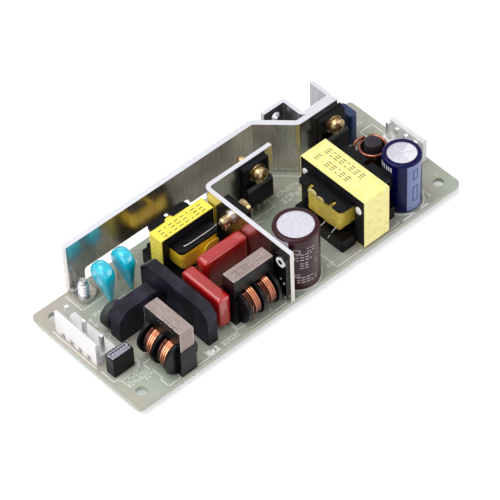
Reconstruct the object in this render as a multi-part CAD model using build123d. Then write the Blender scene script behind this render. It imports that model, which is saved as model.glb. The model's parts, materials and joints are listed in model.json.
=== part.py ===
from build123d import *
from math import sqrt
import os

# Open frame power supply: a circuit board, folded aluminium heatsinks and the parts soldered to it.
# Millimetres.  While a piece is laid out, x runs along the board from the input end, y runs across it
# from the near edge, and z is height above the component side.  The finished model has its origin at
# the centre of the mounting hole pattern, on the solder side.

# Clearances and margins
close_gap = 0.3            # between parts that stand side by side
slide_gap = 0.1            # round a core leg, a tab or a pin in its hole
near_margin = 0.3          # near edge of the board to the filter and the bulk capacitor

# Board
board_thickness = 1.6
board_corner = 1.5
hole_diameter = 3.6
hole_inset = 5.0
lead_protrusion = 2.5      # lead tips below the board
joint_radius = 1.1
joint_height = 1.1
lead_radius = 0.4

# Pin headers at the input and output ends
pin_pitch = 3.96
pin_side = 1.1
pin_height = 10.0
header_end = 1.5
header_depth = 7.5
header_base = 3.0
header_wall = 1.5
header_height = 9.0
header_pin_setback = 3.7
comb_width = 1.7
comb_height = 1.9
comb_depth = 0.7
input_pins = [0, 2, 4]     # positions that carry a pin
input_positions = 5
input_inset = 1.7
output_pins = [0, 1, 2, 3]
output_positions = 4
output_inset = 1.0
output_header_y = 14.4

# Fuse and inrush thermistor
fuse_length = 8.0
fuse_width = 4.0
fuse_height = 7.2
fuse_inset = 2.4
fuse_y = 13.9
fuse_to_header = 3.3
thermistor_diameter = 9.0
thermistor_thickness = 3.4
thermistor_bevel = 0.7
thermistor_overhang = 1.2
thermistor_lead_pitch = 5.0
fuse_corner = 0.5
fuse_lead_pitch = 5.08

# Boxed mains capacitors
box_chamfer = 3.0
header_to_box = 3.6
filter_to_box = 6.0
box_corner = 0.4
box_small_pitch = 15.0
box_large_pitch = 27.5
box_small_length = 17.6
box_small_width = 5.0
box_small_height = 11.8
box_large_length = 30.4
box_large_width = 3.9
box_large_height = 14.0
box_large_y = 4.2

# Disc suppression capacitors
disc_diameter = 7.8
disc_thickness = 4.2
disc_lead_pitch = 6.4
disc_centre_z = 11.2
disc_tail_radius = 1.9      # where the run-down meets the disc
disc_tail_inset = 1.3
disc_socket = 0.6          # how far a lead runs up into the coating
disc_rim = 1.9             # rounding of the coating round the rim
disc_short_tail = 5.0
disc_first_x = 20.8
disc_spacing = 8.0
disc_to_heatsink = 8.0

# Line filters
filter_length = 15.9
filter_bar_width = 5.2
filter_bar_height = 5.5
filter_height = 18.2
filter_leg_height = 4.0
flange_radius = 6.2
flange_thickness = 1.0
flange_pitch = 6.05
hub_radius = 4.7
filter_winding_radius = 5.6
filter_offset = 1.2        # core plane behind the bobbin's axis
filter_block_wall = 0.3
filter_block_height = 10.4
filter_block_width = 6.0
filter_pin_x = 7.2
filter_pin_spread = 2.2
fuse_to_filter = 2.2
filter_edge = 0.3
flange_lift = 0.1         # flanges clear of the board

# Dipped film capacitors
dipped_side_length = 17.4
dipped_rear_length = 16.6
dipped_thickness = 4.9
dipped_side_height = 12.2
dipped_rear_height = 14.1
dipped_radius = 2.1
dipped_standoff = 1.0
dipped_lead_pitch = 15.0
box_to_dipped = 2.25
dipped_side_y = 5.8
coating_low = 0.6          # where the coating on a lead stops
dipped_to_filter = 0.55
dipped_to_plate = 0.3
filter_to_dipped = 5.6

# Folded heatsinks and the bracket
sheet = 2.0
bend_radius = 1.0
heatsink_height = 21.0
heatsink_start = 13.9
heatsink_leg = 6.2
gap_low = 5.0
gap_high = 7.6
gap_step_x = 62.0
gap_end_back = 1.5
gap_radius = 2.5
jog = 10.2
flange_to_jog = 3.3
last_length = 16.4
foot_depth = 6.2
foot_radius = 2.0
tab_width = 4.0
plate_leg = 27.0
plate_setback = 9.15
plate_sheet = 1.5
filter_to_plate = 1.6
plate_to_bulk = 0.85
collar_diameter = 4.4      # burr thrown up round a tapped hole
collar_height = 0.8
bracket_sheet = 1.5
bracket_first = 9.7
bracket_web = 13.2
bracket_bend = 0.4
bracket_last = 9.4
bracket_to_jog = 5.4
bracket_hole_diameter = 3.2
bracket_hole_z = 17.1

# Power devices and the screws that hold them
package_width = 10.0
package_height = 15.5
package_tab = 7.3
package_tab_thickness = 2.2
package_thickness = 4.0
package_hole_drop = 3.5
package_bevel = 0.9
pad_thickness = 0.25
pad_margin = 0.8
lead_pitch = 2.54
lead_side = 0.8
device_screw_z = 17.0
output_screw_z = 15.2
transistor_x = 18.4        # along the inner plate from its corner
diode_y = 12.35
output_device_x = 12.1     # along the last section of the main heatsink
screw_diameter = 3.0
screw_length = 9.0
head_diameter = 5.4
head_height = 2.0
head_rim = 0.6             # shares of the head: height of its rim, length and floor of its recess
recess_length = 0.56
recess_floor = 0.4
recess_width = 0.8
thread_taper = 0.4
ground_screw_length = 10.0
ground_screw_x = 2.6       # from the end of the heatsink
ground_screw_y = 3.5       # from the wall's inner face
washer_diameter = 6.2
washer_thickness = 0.5
spring_diameter = 5.2
spring_thickness = 0.7
spring_gap = 0.9
bridge_length = 9.0
bridge_height = 16.3
bridge_thickness = 1.3
bridge_bevel = 4.8
bridge_base_z = 3.0
bridge_y = 0.5
bridge_screw_inset = 2.1
bridge_screw_drop = 2.3
bridge_screw_diameter = 2.4
bridge_head_diameter = 4.0
bridge_head_height = 1.3
bridge_lead_pitch = 2.0
insert_diameter = 4.0
insert_proud = 0.3

# Transformers: the small choke and the main transformer
choke_length = 21.0
choke_depth = 5.4
choke_height = 16.4
choke_flange_depth = 16.6
choke_flange_length = 15.4
choke_winding_depth = 16.4
choke_winding_length = 14.6
choke_base_depth = 14.8
choke_base_length = 21.0
choke_to_heatsink = 3.4
dipped_to_choke = 4.8
main_length = 28.3
main_depth = 10.3
main_height = 20.2
main_flange_depth = 21.6
main_flange_length = 19.6
main_winding_depth = 18.7
main_winding_length = 14.4
main_base_margin = 0.4
main_base_length = 21.4
main_inset = 0.4
main_notch_offset = 5.0
bulk_to_main = 8.35
tape_thickness = 0.25
core_standoff = 0.5
core_back = 3.0
core_centre = 5.6
bobbin_wall = 0.9
bobbin_corner = 1.8
base_wall = 1.2
notch_width = 1.6
notch_depth = 2.4
transformer_pin_pitch = 3.8
transformer_pins = 4

# Electrolytic capacitors
bulk_inset = 0.55
bulk_diameter = 14.5
bulk_height = 21.4
output_diameter = 12.5
output_height = 20.5
output_cap_inset = 1.65
main_to_output = 0.3
output_to_header = 3.4
can_lead_pitch = 5.0
sleeve_wall = 0.25
sleeve_lip = 1.3
seal_wall = 0.8
seal_height = 1.6
can_standoff = 0.4
can_lip = 0.6
vent_width = 0.3
vent_depth = 0.2

# Output choke and the small boxed capacitor beside it
rod_diameter = 5.4
rod_height = 16.0
coil_diameter = 9.6
coil_height = 14.6
coil_standoff = 0.6
coil_lead_pitch = 8.0
coil_lead_radius = 0.5
rod_to_output = 1.8
output_box_length = 6.8
output_box_corner = 1.1
output_box_width = 3.0
output_box_height = 12.6
output_box_end = 12.2
output_box_back = 11.5
output_box_pitch = 5.0

# Solder-side parts
joint_tip = 0.4
joint_sides = 8
chip_height = 1.6
chip_standoff = 0.2
chip_leg_width = 0.5
chip_leg_reach = 1.0
chip_leg_pitch = 1.27
control_length = 5.0
control_width = 4.0
control_legs = 4           # on each side
control_to_plate = 10.4
optocoupler_length = 4.6
optocoupler_width = 6.5
optocoupler_legs = 2
optocoupler_to_main = 15.1
chip_row_y = 25.0
small_chip_length = 2.0
small_chip_width = 1.25
small_chip_height = 0.6
control_chip_places = [(-6.0, 7.0), (-2.0, 7.0), (-6.0, -7.0), (-2.0, -7.0)]    # from the control chip
output_chip_places = [(6.0, 5.0), (6.0, 8.0)]                                    # from the optocoupler's row

# Layout: each column and row follows the one before it
box_small_x = input_inset + header_depth + header_to_box
box_large_x = box_small_x + box_small_length + close_gap
dipped_side_x = box_large_x + box_large_width + box_to_dipped
filter_second_x = dipped_side_x + dipped_thickness + dipped_to_filter
filter_second_end = filter_second_x + filter_length + filter_block_wall
plate_x = filter_second_end + filter_to_plate
bulk_x = plate_x + plate_sheet + plate_to_bulk + bulk_diameter / 2
main_x = bulk_x + bulk_diameter / 2 + bulk_to_main + main_flange_depth / 2
main_base_depth = main_flange_depth + 2 * main_base_margin
output_cap_x = main_x + main_base_depth / 2 + main_to_output + output_diameter / 2
output_header_x = output_cap_x + output_diameter / 2 + output_to_header + header_depth
board_length = output_header_x + output_inset

filter_axis_y = near_margin + flange_radius
dipped_rear_y = filter_axis_y + flange_radius + filter_to_dipped
choke_y = dipped_rear_y + dipped_thickness + dipped_to_choke + choke_flange_depth / 2
wall_y = choke_y + choke_flange_depth / 2 + choke_to_heatsink
board_width = wall_y + sheet

filter_first_x = fuse_inset + fuse_length + fuse_to_filter + flange_radius
filter_first_y = near_margin + 2 * filter_block_wall
input_header_y = fuse_y + fuse_width + fuse_to_header
box_small_y = filter_first_y + filter_length + filter_block_wall + filter_to_box
thermistor_y = box_small_y + box_small_width + close_gap
disc_y = wall_y - disc_to_heatsink
plate_y = wall_y - plate_setback
bulk_y = bulk_inset + bulk_diameter / 2
main_y = main_inset + main_length / 2
output_cap_y = output_cap_inset + output_diameter / 2
coil_y = output_cap_y + output_diameter / 2 + rod_to_output + coil_diameter / 2
jog_x = main_x - main_flange_depth / 2 + flange_to_jog
last_x = jog_x + jog
last_y = wall_y - jog
choke_x = plate_x - close_gap - choke_length / 2
dipped_rear_x = plate_x - dipped_to_plate - dipped_rear_length
bridge_screw_z = bridge_base_z + bridge_height - bridge_screw_drop
control_x = plate_x + plate_sheet + control_to_plate
optocoupler_x = main_x - optocoupler_to_main

pieces = {}
joints = []                # where leads pass through the board


ON_FLOOR = (Align.CENTER, Align.CENTER, Align.MIN)


def block(length, width, height):
    """Box standing on z = 0, centred on x and y."""
    return Box(length, width, height, align=ON_FLOOR)


def column(radius, height):
    """Cylinder standing on z = 0."""
    return Cylinder(radius, height, align=ON_FLOOR)


def gather(shapes):
    """One compound of every solid in the shapes."""
    return Compound([solid for shape in shapes for solid in shape.solids()])


def folded(points, radii, thickness, height):
    """Sheet folded along a plan path, thickness to the left of it, standing on z = 0."""
    path = FilletPolyline(*points, radius=radii)
    plan = offset(path, amount=thickness, side=Side.LEFT, kind=Kind.ARC, closed=True)
    return extrude(make_face(plan.edges()), amount=height, dir=(0, 0, 1))


# Circuit board -------------------------------------------------------------------------------------

def make_board(cuts):
    """Board under z = 0, with its corner mounting holes and the holes that pieces pass through."""
    board = extrude(RectangleRounded(board_length, board_width, board_corner), amount=board_thickness)
    spacing_x = board_length - 2 * hole_inset
    spacing_y = board_width - 2 * hole_inset
    for spot in GridLocations(spacing_x, spacing_y, 2, 2):
        board -= spot * column(hole_diameter / 2, board_thickness)
    board = Pos(board_length / 2, board_width / 2, -board_thickness) * board
    for cut in cuts:
        board -= cut
    return board


# Pin headers ---------------------------------------------------------------------------------------

def make_header(positions, pins):
    """Header with its tall wall at x = 0 and its pins along y.  Returns housing, pins and board holes."""
    length = (positions - 1) * pin_pitch + 2 * header_end
    middle = length / 2
    housing = Pos(header_depth / 2, middle) * block(header_depth, length, header_base)
    wall = Pos(header_wall / 2, middle) * block(header_wall, length, header_height)
    top = wall.edges().filter_by(Axis.Y).group_by(Axis.Z)[-1]
    housing += chamfer(top.sort_by(Axis.X)[-1], header_wall / 2)
    for k in range(positions - 1):
        notch_y = header_end + (k + 0.5) * pin_pitch
        housing -= Pos(0, notch_y) * block(2 * comb_depth, comb_width, comb_height)
        housing -= Pos(header_depth, notch_y) * block(2 * comb_depth, comb_width, comb_height)
    below = board_thickness + lead_protrusion
    hole = pin_side + 2 * slide_gap
    rods = []
    cuts = []
    for k in pins:
        spot = Pos(header_pin_setback, header_end + k * pin_pitch)
        rod = Pos(0, 0, -below) * block(pin_side, pin_side, pin_height + below)
        rods.append(spot * chamfer(rod.edges().group_by(Axis.Z)[-1], pin_side / 4))
        housing -= spot * block(pin_side, pin_side, header_base)
        cuts.append(spot * Pos(0, 0, -board_thickness) * block(hole, hole, board_thickness))
    return housing, rods, cuts


# Capacitors ----------------------------------------------------------------------------------------

def make_boxed(length, width, height):
    """Boxed film capacitor along x with sloped top ends."""
    outline = Polyline(
        (-length / 2, 0), (length / 2, 0), (length / 2, height - box_chamfer),
        (length / 2 - box_chamfer, height), (-length / 2 + box_chamfer, height),
        (-length / 2, height - box_chamfer), close=True)
    body = extrude(Plane.XZ * make_face(outline), amount=width / 2, both=True)
    return fillet(body.edges().filter_by(Axis.Z), box_corner)


def make_dipped(length, height):
    """Dipped film capacitor along x, a rounded tablet held off the board by its leads."""
    body = Pos(0, 0, dipped_standoff) * block(length, dipped_thickness, height)
    body = fillet(body.edges(), dipped_radius)
    for side in (-1, 1):
        skirt = Cone(lead_radius + slide_gap, dipped_radius / 2, dipped_radius, align=ON_FLOOR)
        body += Pos(side * dipped_lead_pitch / 2, 0, coating_low) * skirt
    return body


def make_disc():
    """Disc capacitor across y, with a long run-down of coating on its near lead and a short one behind."""
    disc = Rot(0, 90, 0) * column(disc_diameter / 2, disc_thickness)
    disc = Pos(-disc_thickness / 2, 0, disc_centre_z) * disc
    disc = fillet(disc.edges().filter_by(GeomType.CIRCLE), disc_rim)
    for side, low in ((-1, coating_low), (1, disc_centre_z - disc_short_tail)):
        rise = Vector(0, side * (disc_tail_inset - disc_lead_pitch / 2), disc_centre_z - low)
        tail = Cone(lead_radius + slide_gap, disc_tail_radius, rise.length, align=ON_FLOOR)
        disc += Plane(origin=(0, side * disc_lead_pitch / 2, low), z_dir=rise) * tail
        disc -= Pos(0, side * disc_lead_pitch / 2) * column(lead_radius, low + disc_socket)
    return disc


def make_electrolytic(diameter, height, vents):
    """Can, sleeve and rubber seal of a radial capacitor.  Vents is the number of score lines."""
    radius = diameter / 2 - sleeve_wall
    body_height = height - can_standoff - sleeve_wall
    can = column(radius, body_height)
    can = chamfer(can.edges().group_by(Axis.Z)[-1], can_lip)
    sleeve = Pos(0, 0, -sleeve_wall) * column(diameter / 2, body_height + 2 * sleeve_wall)
    sleeve = fillet(sleeve.edges().group_by(Axis.Z)[-1], can_lip + sleeve_wall)
    sleeve -= can
    sleeve -= Pos(0, 0, -height) * column(radius - sleeve_lip, 3 * height)
    seal = column(radius - seal_wall, seal_height)
    can -= seal
    seal += Pos(0, 0, -can_standoff) * column(radius - 2 * sleeve_lip, can_standoff)
    vent_length = radius - sleeve_lip - can_lip
    for k in range(vents):
        score = Pos(vent_length / 2, 0) * block(vent_length, vent_width, vent_depth)
        can -= Pos(0, 0, body_height - vent_depth) * Rot(0, 0, 90 + k * 360 / vents) * score
    up = Pos(0, 0, can_standoff)
    return up * can, up * sleeve, up * seal


def make_coil():
    """Rod-core choke: a ferrite rod upright inside a close-wound coil."""
    rod = Pos(0, 0, close_gap) * column(rod_diameter / 2, rod_height - close_gap)
    rod = chamfer(rod.edges().group_by(Axis.Z)[-1], close_gap)
    coil = column(coil_diameter / 2, coil_height - coil_standoff)
    coil -= column(rod_diameter / 2 + slide_gap, coil_height)
    return rod, Pos(0, 0, coil_standoff) * coil


# Line filters --------------------------------------------------------------------------------------

def make_filter():
    """Line filter with its bobbin along x.  Returns core, bobbin and the pair of windings."""
    axis_z = flange_radius + flange_lift
    leg_low = axis_z - filter_leg_height / 2
    limb = (filter_length - 2 * flange_pitch - flange_thickness) / 2 - slide_gap
    window = filter_length - 2 * limb
    core = Pos(0, filter_offset, leg_low) * block(filter_length, filter_bar_width, filter_height - leg_low)
    window_low = axis_z + filter_leg_height / 2
    window_high = filter_height - filter_bar_height
    core -= Pos(0, filter_offset, window_low) * block(window, filter_bar_width, window_high - window_low)
    core = fillet(core.edges().group_by(Axis.Z)[-1], filter_edge)

    bobbin_length = 2 * flange_pitch + flange_thickness
    lying = Rot(0, 90, 0)
    bobbin = Pos(-bobbin_length / 2, 0, axis_z) * lying * column(hub_radius, bobbin_length)
    for k in (-1, 0, 1):
        middle = k * flange_pitch - flange_thickness / 2
        bobbin += Pos(middle, 0, axis_z) * lying * column(flange_radius, flange_thickness)
    end_x = bobbin_length / 2
    block_length = filter_length / 2 + filter_block_wall - end_x
    for side in (-1, 1):
        spot = Pos(side * (end_x + block_length / 2), filter_offset)
        bobbin += spot * block(block_length, filter_block_width, filter_block_height)
    leg_room = filter_bar_width + 2 * slide_gap
    leg_height = filter_leg_height + 2 * slide_gap
    leg_length = filter_length + 2 * slide_gap
    limb_room = limb + 2 * slide_gap
    bobbin -= Pos(0, filter_offset, leg_low - slide_gap) * block(leg_length, leg_room, leg_height)
    for side in (-1, 1):
        spot = Pos(side * (leg_length - limb_room) / 2, filter_offset, leg_low - slide_gap)
        bobbin -= spot * block(limb_room, leg_room, filter_block_height)
    windings = []
    for side in (-1, 1):
        width = flange_pitch - flange_thickness
        start = side * flange_pitch / 2 - width / 2
        ring = column(filter_winding_radius, width) - column(hub_radius, width)
        windings.append(Pos(start, 0, axis_z) * lying * ring)
    return core, bobbin, gather(windings)


# Transformers --------------------------------------------------------------------------------------

def make_transformer(length, depth, height, flange_size, winding_size, base_size, notches):
    """Taped E-core transformer with its core's length along x and its bobbin upright.

    Sizes are (along x, along y).  Returns core, tape, bobbin and winding.
    """
    flange_length, flange_depth = flange_size
    base_length, base_depth = base_size
    core_length = length - 2 * tape_thickness
    core_low = core_standoff + tape_thickness
    core_height = height - core_low - tape_thickness
    outer_leg = (core_length - flange_length) / 2 - slide_gap
    floor = core_low + core_back
    roof = core_low + core_height - core_back
    window = (core_length - core_centre) / 2 - outer_leg
    core = Pos(0, 0, core_low) * block(core_length, depth, core_height)
    for side in (-1, 1):
        spot = Pos(side * (core_centre + window) / 2, 0, floor)
        core -= spot * block(window, depth, roof - floor)

    wrap = block(length, depth, core_height + 2 * tape_thickness)
    wrap = fillet(wrap.edges().filter_by(Axis.Y), 2 * tape_thickness)
    wrap -= Pos(0, 0, tape_thickness) * block(core_length, depth, core_height)
    tape = Pos(0, 0, core_standoff) * wrap

    flange = extrude(RectangleRounded(flange_length, flange_depth, bobbin_corner), amount=bobbin_wall)
    for x, side in notches:
        flange -= Pos(x, side * flange_depth / 2) * block(notch_width, 2 * notch_depth, bobbin_wall)
    hub_length = core_centre + 2 * slide_gap + 2 * bobbin_wall
    hub_depth = depth + 2 * slide_gap + 2 * bobbin_wall
    hub_low = floor + slide_gap
    hub_high = roof - slide_gap
    bobbin = Pos(0, 0, hub_low) * block(hub_length, hub_depth, hub_high - hub_low)
    bobbin += Pos(0, 0, hub_high - bobbin_wall) * flange
    bobbin += Pos(0, 0, hub_low) * block(flange_length, flange_depth, bobbin_wall)
    beyond = depth / 2 + 2 * slide_gap
    rail_depth = base_depth / 2 - beyond
    rail = block(base_length, rail_depth, hub_low + bobbin_wall)
    rail = fillet(rail.edges().filter_by(Axis.Z), base_wall / 2)
    rail -= block(base_length - 2 * base_wall, rail_depth - 2 * base_wall, hub_low)
    for side in (-1, 1):
        bobbin += Pos(0, side * (beyond + rail_depth / 2)) * rail
    bobbin -= block(core_centre + 2 * slide_gap, depth + 2 * slide_gap, height)

    turns_low = hub_low + bobbin_wall
    turns_height = hub_high - bobbin_wall - turns_low
    winding = extrude(RectangleRounded(*winding_size, bobbin_corner), amount=turns_height)
    winding -= block(hub_length, hub_depth, turns_height)
    return core, tape, bobbin, Pos(0, 0, turns_low) * winding


def transformer_pads(base_depth):
    """Pin positions along both rails of a transformer's base."""
    first = -transformer_pin_pitch * (transformer_pins - 1) / 2
    pins = []
    for side in (-1, 1):
        for k in range(transformer_pins):
            pins.append((first + k * transformer_pin_pitch, side * (base_depth / 2 - base_wall)))
    return pins


# Power devices and fasteners -----------------------------------------------------------------------

def make_package():
    """Moulded three-lead package, back face on y = 0, mounting hole at the origin."""
    top = package_hole_drop
    tab = Pos(0, -package_tab_thickness / 2, top - package_height) * block(
        package_width, package_tab_thickness, package_height)
    body_height = package_height - package_tab
    body = Pos(0, -package_thickness / 2, top - package_height) * block(
        package_width, package_thickness, body_height)
    body = chamfer(body.edges().filter_by(Axis.X).group_by(Axis.Y)[0].sort_by(Axis.Z)[-1], package_bevel)
    whole = tab + body
    return whole - Rot(90, 0, 0) * column(screw_diameter / 2 + slide_gap, package_tab_thickness)


def make_screw(diameter, length, head_width, head):
    """Pan head screw pointing along +y, head seat on y = 0."""
    radius = diameter / 2
    rim = head_width / 2
    outline = Polyline((0, -length), (radius - thread_taper, -length), (radius, 2 * thread_taper - length),
                       (radius, 0), (rim, 0), (rim, head_rim * head))
    dome = TangentArc((0, head), (rim, head_rim * head), tangent=(1, 0))
    centre = Line((0, head), (0, -length))
    screw = revolve(Plane.XZ * make_face(outline.edges() + dome.edges() + centre.edges()), Axis.Z)
    for turn in (0, 90):
        slot = block(recess_length * head_width, recess_width, head)
        screw -= Pos(0, 0, recess_floor * head) * Rot(0, 0, turn) * slot
    return Rot(90, 0, 0) * screw


def make_washer(diameter, thickness, split=0.0):
    """Washer with its seat on y = 0, lying towards -y.  A split washer has a gap in its ring."""
    ring = column(diameter / 2, thickness) - column(screw_diameter / 2 + slide_gap, thickness)
    if split:
        ring -= Pos(diameter / 2, 0) * block(diameter, split, thickness)
    return Rot(90, 0, 0) * ring


# Heatsinks -----------------------------------------------------------------------------------------

def sheet_tab(x, y, thickness, turn=0.0):
    """Solder tab under a folded sheet, centred on x, y, with the board slot that it passes through."""
    below = board_thickness + lead_protrusion
    spot = Pos(x, y) * Rot(0, 0, turn)
    tab = spot * Pos(0, 0, -below) * block(tab_width, thickness, below)
    slot = block(tab_width + 2 * slide_gap, thickness + 2 * slide_gap, board_thickness)
    return tab, spot * Pos(0, 0, -board_thickness) * slot


def tapped(plate, x, y, z, turn, through, collar=True):
    """Plate with a tapped hole along the +y of its own turned frame, from its face at x, y."""
    frame = Pos(x, y, z) * Rot(0, 0, turn) * Rot(-90, 0, 0)
    depth = through
    if collar:
        depth += collar_height
        plate += frame * Pos(0, 0, through) * column(collar_diameter / 2, collar_height)
    return plate - frame * column(screw_diameter / 2, depth)


def make_main_heatsink():
    """Back wall with a leg and foot at one end and a jogged section at the other."""
    last_end = last_x + last_length
    wall = folded([(heatsink_start, wall_y), (jog_x, wall_y), (last_x, last_y), (last_end, last_y)],
                  [bend_radius, bend_radius + sheet], sheet, heatsink_height)
    gap_start = heatsink_start + heatsink_leg
    gap_end = jog_x - gap_end_back
    gap = Polyline((gap_start, 0), (gap_start, gap_high), (gap_step_x, gap_high), (gap_step_x, gap_low),
                   (gap_end, gap_low), (gap_end, 0), close=True)
    cutter = Pos(0, board_width) * extrude(Plane.XZ * make_face(gap), amount=sheet)
    corners = cutter.edges().filter_by(Axis.Y).filter_by(lambda edge: edge.center().Z > gap_low / 2)
    cutter = fillet(corners, gap_radius / 2)
    wall -= cutter

    fold = bend_radius + sheet
    wall -= Pos(gap_start - heatsink_leg / 2, wall_y + sheet / 2) * block(heatsink_leg, sheet, fold)
    path = FilletPolyline((wall_y - foot_depth, 0), (board_width, 0), (board_width, fold + sheet),
                          radius=fold)
    profile = make_face(offset(path, amount=sheet, side=Side.LEFT, closed=True).edges())
    foot = extrude(Plane.YZ * profile, amount=heatsink_leg)
    foot = fillet(foot.edges().filter_by(Axis.Z).sort_by(Axis.Y)[:2], foot_radius)
    wall += Pos(heatsink_start) * foot

    screw_hole = column(screw_diameter / 2, sheet)
    wall -= Pos(heatsink_start + ground_screw_x, wall_y - ground_screw_y) * screw_hole
    wall = tapped(wall, last_x + output_device_x, last_y, output_screw_z, 0, sheet, collar=False)
    slots = []
    for x in (last_x + tab_width, last_x + last_length - tab_width):
        tab, slot = sheet_tab(x, last_y + sheet / 2, sheet)
        wall += tab
        slots.append(slot)
    return wall, slots


def make_rear_bracket():
    """Thinner bracket, back to back with the main heatsink's last section."""
    start_x = jog_x + bracket_to_jog
    rear_y = board_width - bracket_sheet
    web_y = last_y + sheet
    web_x = start_x + bracket_first - bracket_sheet
    end_x = web_x + bracket_web
    outer = bracket_bend + bracket_sheet
    bracket = folded([(start_x, rear_y), (web_x, rear_y), (web_x, web_y), (end_x, web_y),
                      (end_x, web_y + bracket_last)],
                     [bracket_bend, outer, outer], bracket_sheet, heatsink_height)
    hole = Rot(90, 0, 0) * column(bracket_hole_diameter / 2, bracket_sheet)
    bracket -= Pos(start_x + bracket_first / 2, board_width, bracket_hole_z) * hole
    screw_x = last_x + output_device_x
    room = Rot(-90, 0, 0) * column(screw_diameter / 2 + slide_gap, bracket_sheet)
    bracket -= Pos(screw_x, web_y, output_screw_z) * room
    slots = []
    for x in (web_x + bracket_sheet / 2, end_x - bracket_sheet / 2):
        tab, slot = sheet_tab(x, web_y + bracket_last / 2, bracket_sheet, 90)
        bracket += tab
        slots.append(slot)
    return bracket, slots


def make_inner_heatsink():
    """L-shaped plate between the filters and the high-voltage capacitor."""
    inner_x = plate_x + plate_sheet
    inner_y = plate_y - plate_sheet
    plate = folded([(inner_x, 0), (inner_x, inner_y), (plate_x + plate_leg, inner_y)],
                   [bend_radius], plate_sheet, heatsink_height)
    plate = tapped(plate, plate_x + transistor_x, inner_y, device_screw_z, 0, plate_sheet)
    plate = tapped(plate, inner_x, plate_y - diode_y, device_screw_z, 90, plate_sheet)
    bridge_hole = Rot(0, 90, 0) * column(bridge_screw_diameter / 2, plate_sheet)
    plate -= Pos(plate_x, bridge_y + bridge_screw_inset, bridge_screw_z) * bridge_hole
    slots = []
    for x, y, turn in ((plate_x + plate_sheet / 2, bridge_y + bridge_length + tab_width, 90),
                       (plate_x + plate_leg - tab_width, inner_y + plate_sheet / 2, 0)):
        tab, slot = sheet_tab(x, y, plate_sheet, turn)
        plate += tab
        slots.append(slot)
    return plate, slots


# Assembly ------------------------------------------------------------------------------------------

def add(name, shape, where=Location()):
    """Keep a piece, moved to its place."""
    pieces[name] = where * shape


def hang_device(name, where, floor_z):
    """Package, pad, leads and screw stack on a heatsink.  Where is the screw's place on the sheet's face."""
    face = where * Pos(0, -pad_thickness)
    add(name, make_package(), face)
    pad = Pos(0, -pad_thickness / 2, package_hole_drop - package_height) * block(
        package_width + pad_margin, pad_thickness, package_height + pad_margin / 2)
    hole = Rot(90, 0, 0) * column(screw_diameter / 2 + slide_gap, pad_thickness)
    pads.append(where * (pad - hole))
    lead_top = package_hole_drop - package_height
    lead_y = -package_thickness / 2
    for k in (-1, 0, 1):
        lead = Pos(k * lead_pitch, lead_y, floor_z) * block(lead_side, lead_side, lead_top - floor_z)
        device_leads.append(face * lead)
    stack = face * Pos(0, -package_tab_thickness)
    washers.append(stack * make_washer(washer_diameter, washer_thickness))
    stack = stack * Pos(0, -washer_thickness)
    springs.append(stack * make_washer(spring_diameter, spring_thickness, spring_gap))
    stack = stack * Pos(0, -spring_thickness)
    screws.append(stack * make_screw(screw_diameter, screw_length, head_diameter, head_height))
    down = Pos(where.position.X, where.position.Y, 0) * Rot(0, 0, where.orientation.Z)
    note_joints(down * Pos(0, lead_y - pad_thickness), [(k * lead_pitch, 0) for k in (-1, 0, 1)])


def note_joints(where, points):
    """Remember where leads pass through the board, for the solder underneath."""
    for x, y in points:
        joints.append((where * Pos(x, y)).position)


def stand(where, points, height, radius=lead_radius):
    """Round leads from the board up to a raised part."""
    for x, y in points:
        lead_wires.append(where * Pos(x, y) * column(radius, height))
    note_joints(where, points)


screws = []
springs = []
washers = []
pads = []
device_leads = []
lead_wires = []
cuts = []

# Heatsinks and what hangs on them
heatsink, slots = make_main_heatsink()
add("main_heatsink", heatsink)
cuts += slots
bracket, slots = make_rear_bracket()
add("rear_bracket", bracket)
cuts += slots
plate, slots = make_inner_heatsink()
add("inner_heatsink", plate)
cuts += slots

hang_device("switching_transistor", Pos(plate_x + transistor_x, plate_y - plate_sheet, device_screw_z),
            -device_screw_z)
hang_device("boost_diode", Pos(plate_x + plate_sheet, plate_y - diode_y, device_screw_z) * Rot(0, 0, 90),
            -device_screw_z)
hang_device("output_rectifier", Pos(last_x + output_device_x, last_y, output_screw_z), -output_screw_z)

ground_x = heatsink_start + ground_screw_x
ground_y = wall_y - ground_screw_y
ground = make_screw(screw_diameter, ground_screw_length, head_diameter, head_height)
ground_seat = Pos(ground_x, ground_y, -board_thickness - washer_thickness)
add("ground_screw", Rot(90, 0, 0) * ground, ground_seat)
add("ground_washer", Rot(90, 0, 0) * make_washer(washer_diameter, washer_thickness),
    Pos(ground_x, ground_y, -board_thickness))
ground_hole = column(screw_diameter / 2 + slide_gap, board_thickness)
cuts.append(Pos(ground_x, ground_y, -board_thickness) * ground_hole)

# Bridge rectifier on the free end of the inner heatsink
outline = Polyline((0, 0), (bridge_length, 0), (bridge_length, bridge_height - bridge_bevel),
                   (bridge_length - bridge_bevel, bridge_height), (0, bridge_height), close=True)
bridge = extrude(Plane.YZ * make_face(outline), amount=-bridge_thickness)
insert_hole = Pos(0, bridge_screw_inset, bridge_height - bridge_screw_drop) * Rot(0, -90, 0)
bridge -= insert_hole * column(insert_diameter / 2, bridge_thickness)
bridge_place = Pos(plate_x, bridge_y, bridge_base_z)
add("bridge_rectifier", bridge, bridge_place)
ring = column(insert_diameter / 2, bridge_thickness + insert_proud)
ring -= column(bridge_screw_diameter / 2, bridge_thickness + insert_proud)
add("bridge_insert", ring, bridge_place * insert_hole)
bridge_grip = plate_sheet + bridge_thickness + insert_proud
bridge_screw = make_screw(bridge_screw_diameter, bridge_grip, bridge_head_diameter, bridge_head_height)
bridge_screw_place = Pos(plate_x + plate_sheet, bridge_y + bridge_screw_inset, bridge_screw_z) * Rot(0, 0, 90)
add("bridge_screw", bridge_screw, bridge_screw_place)
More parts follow.
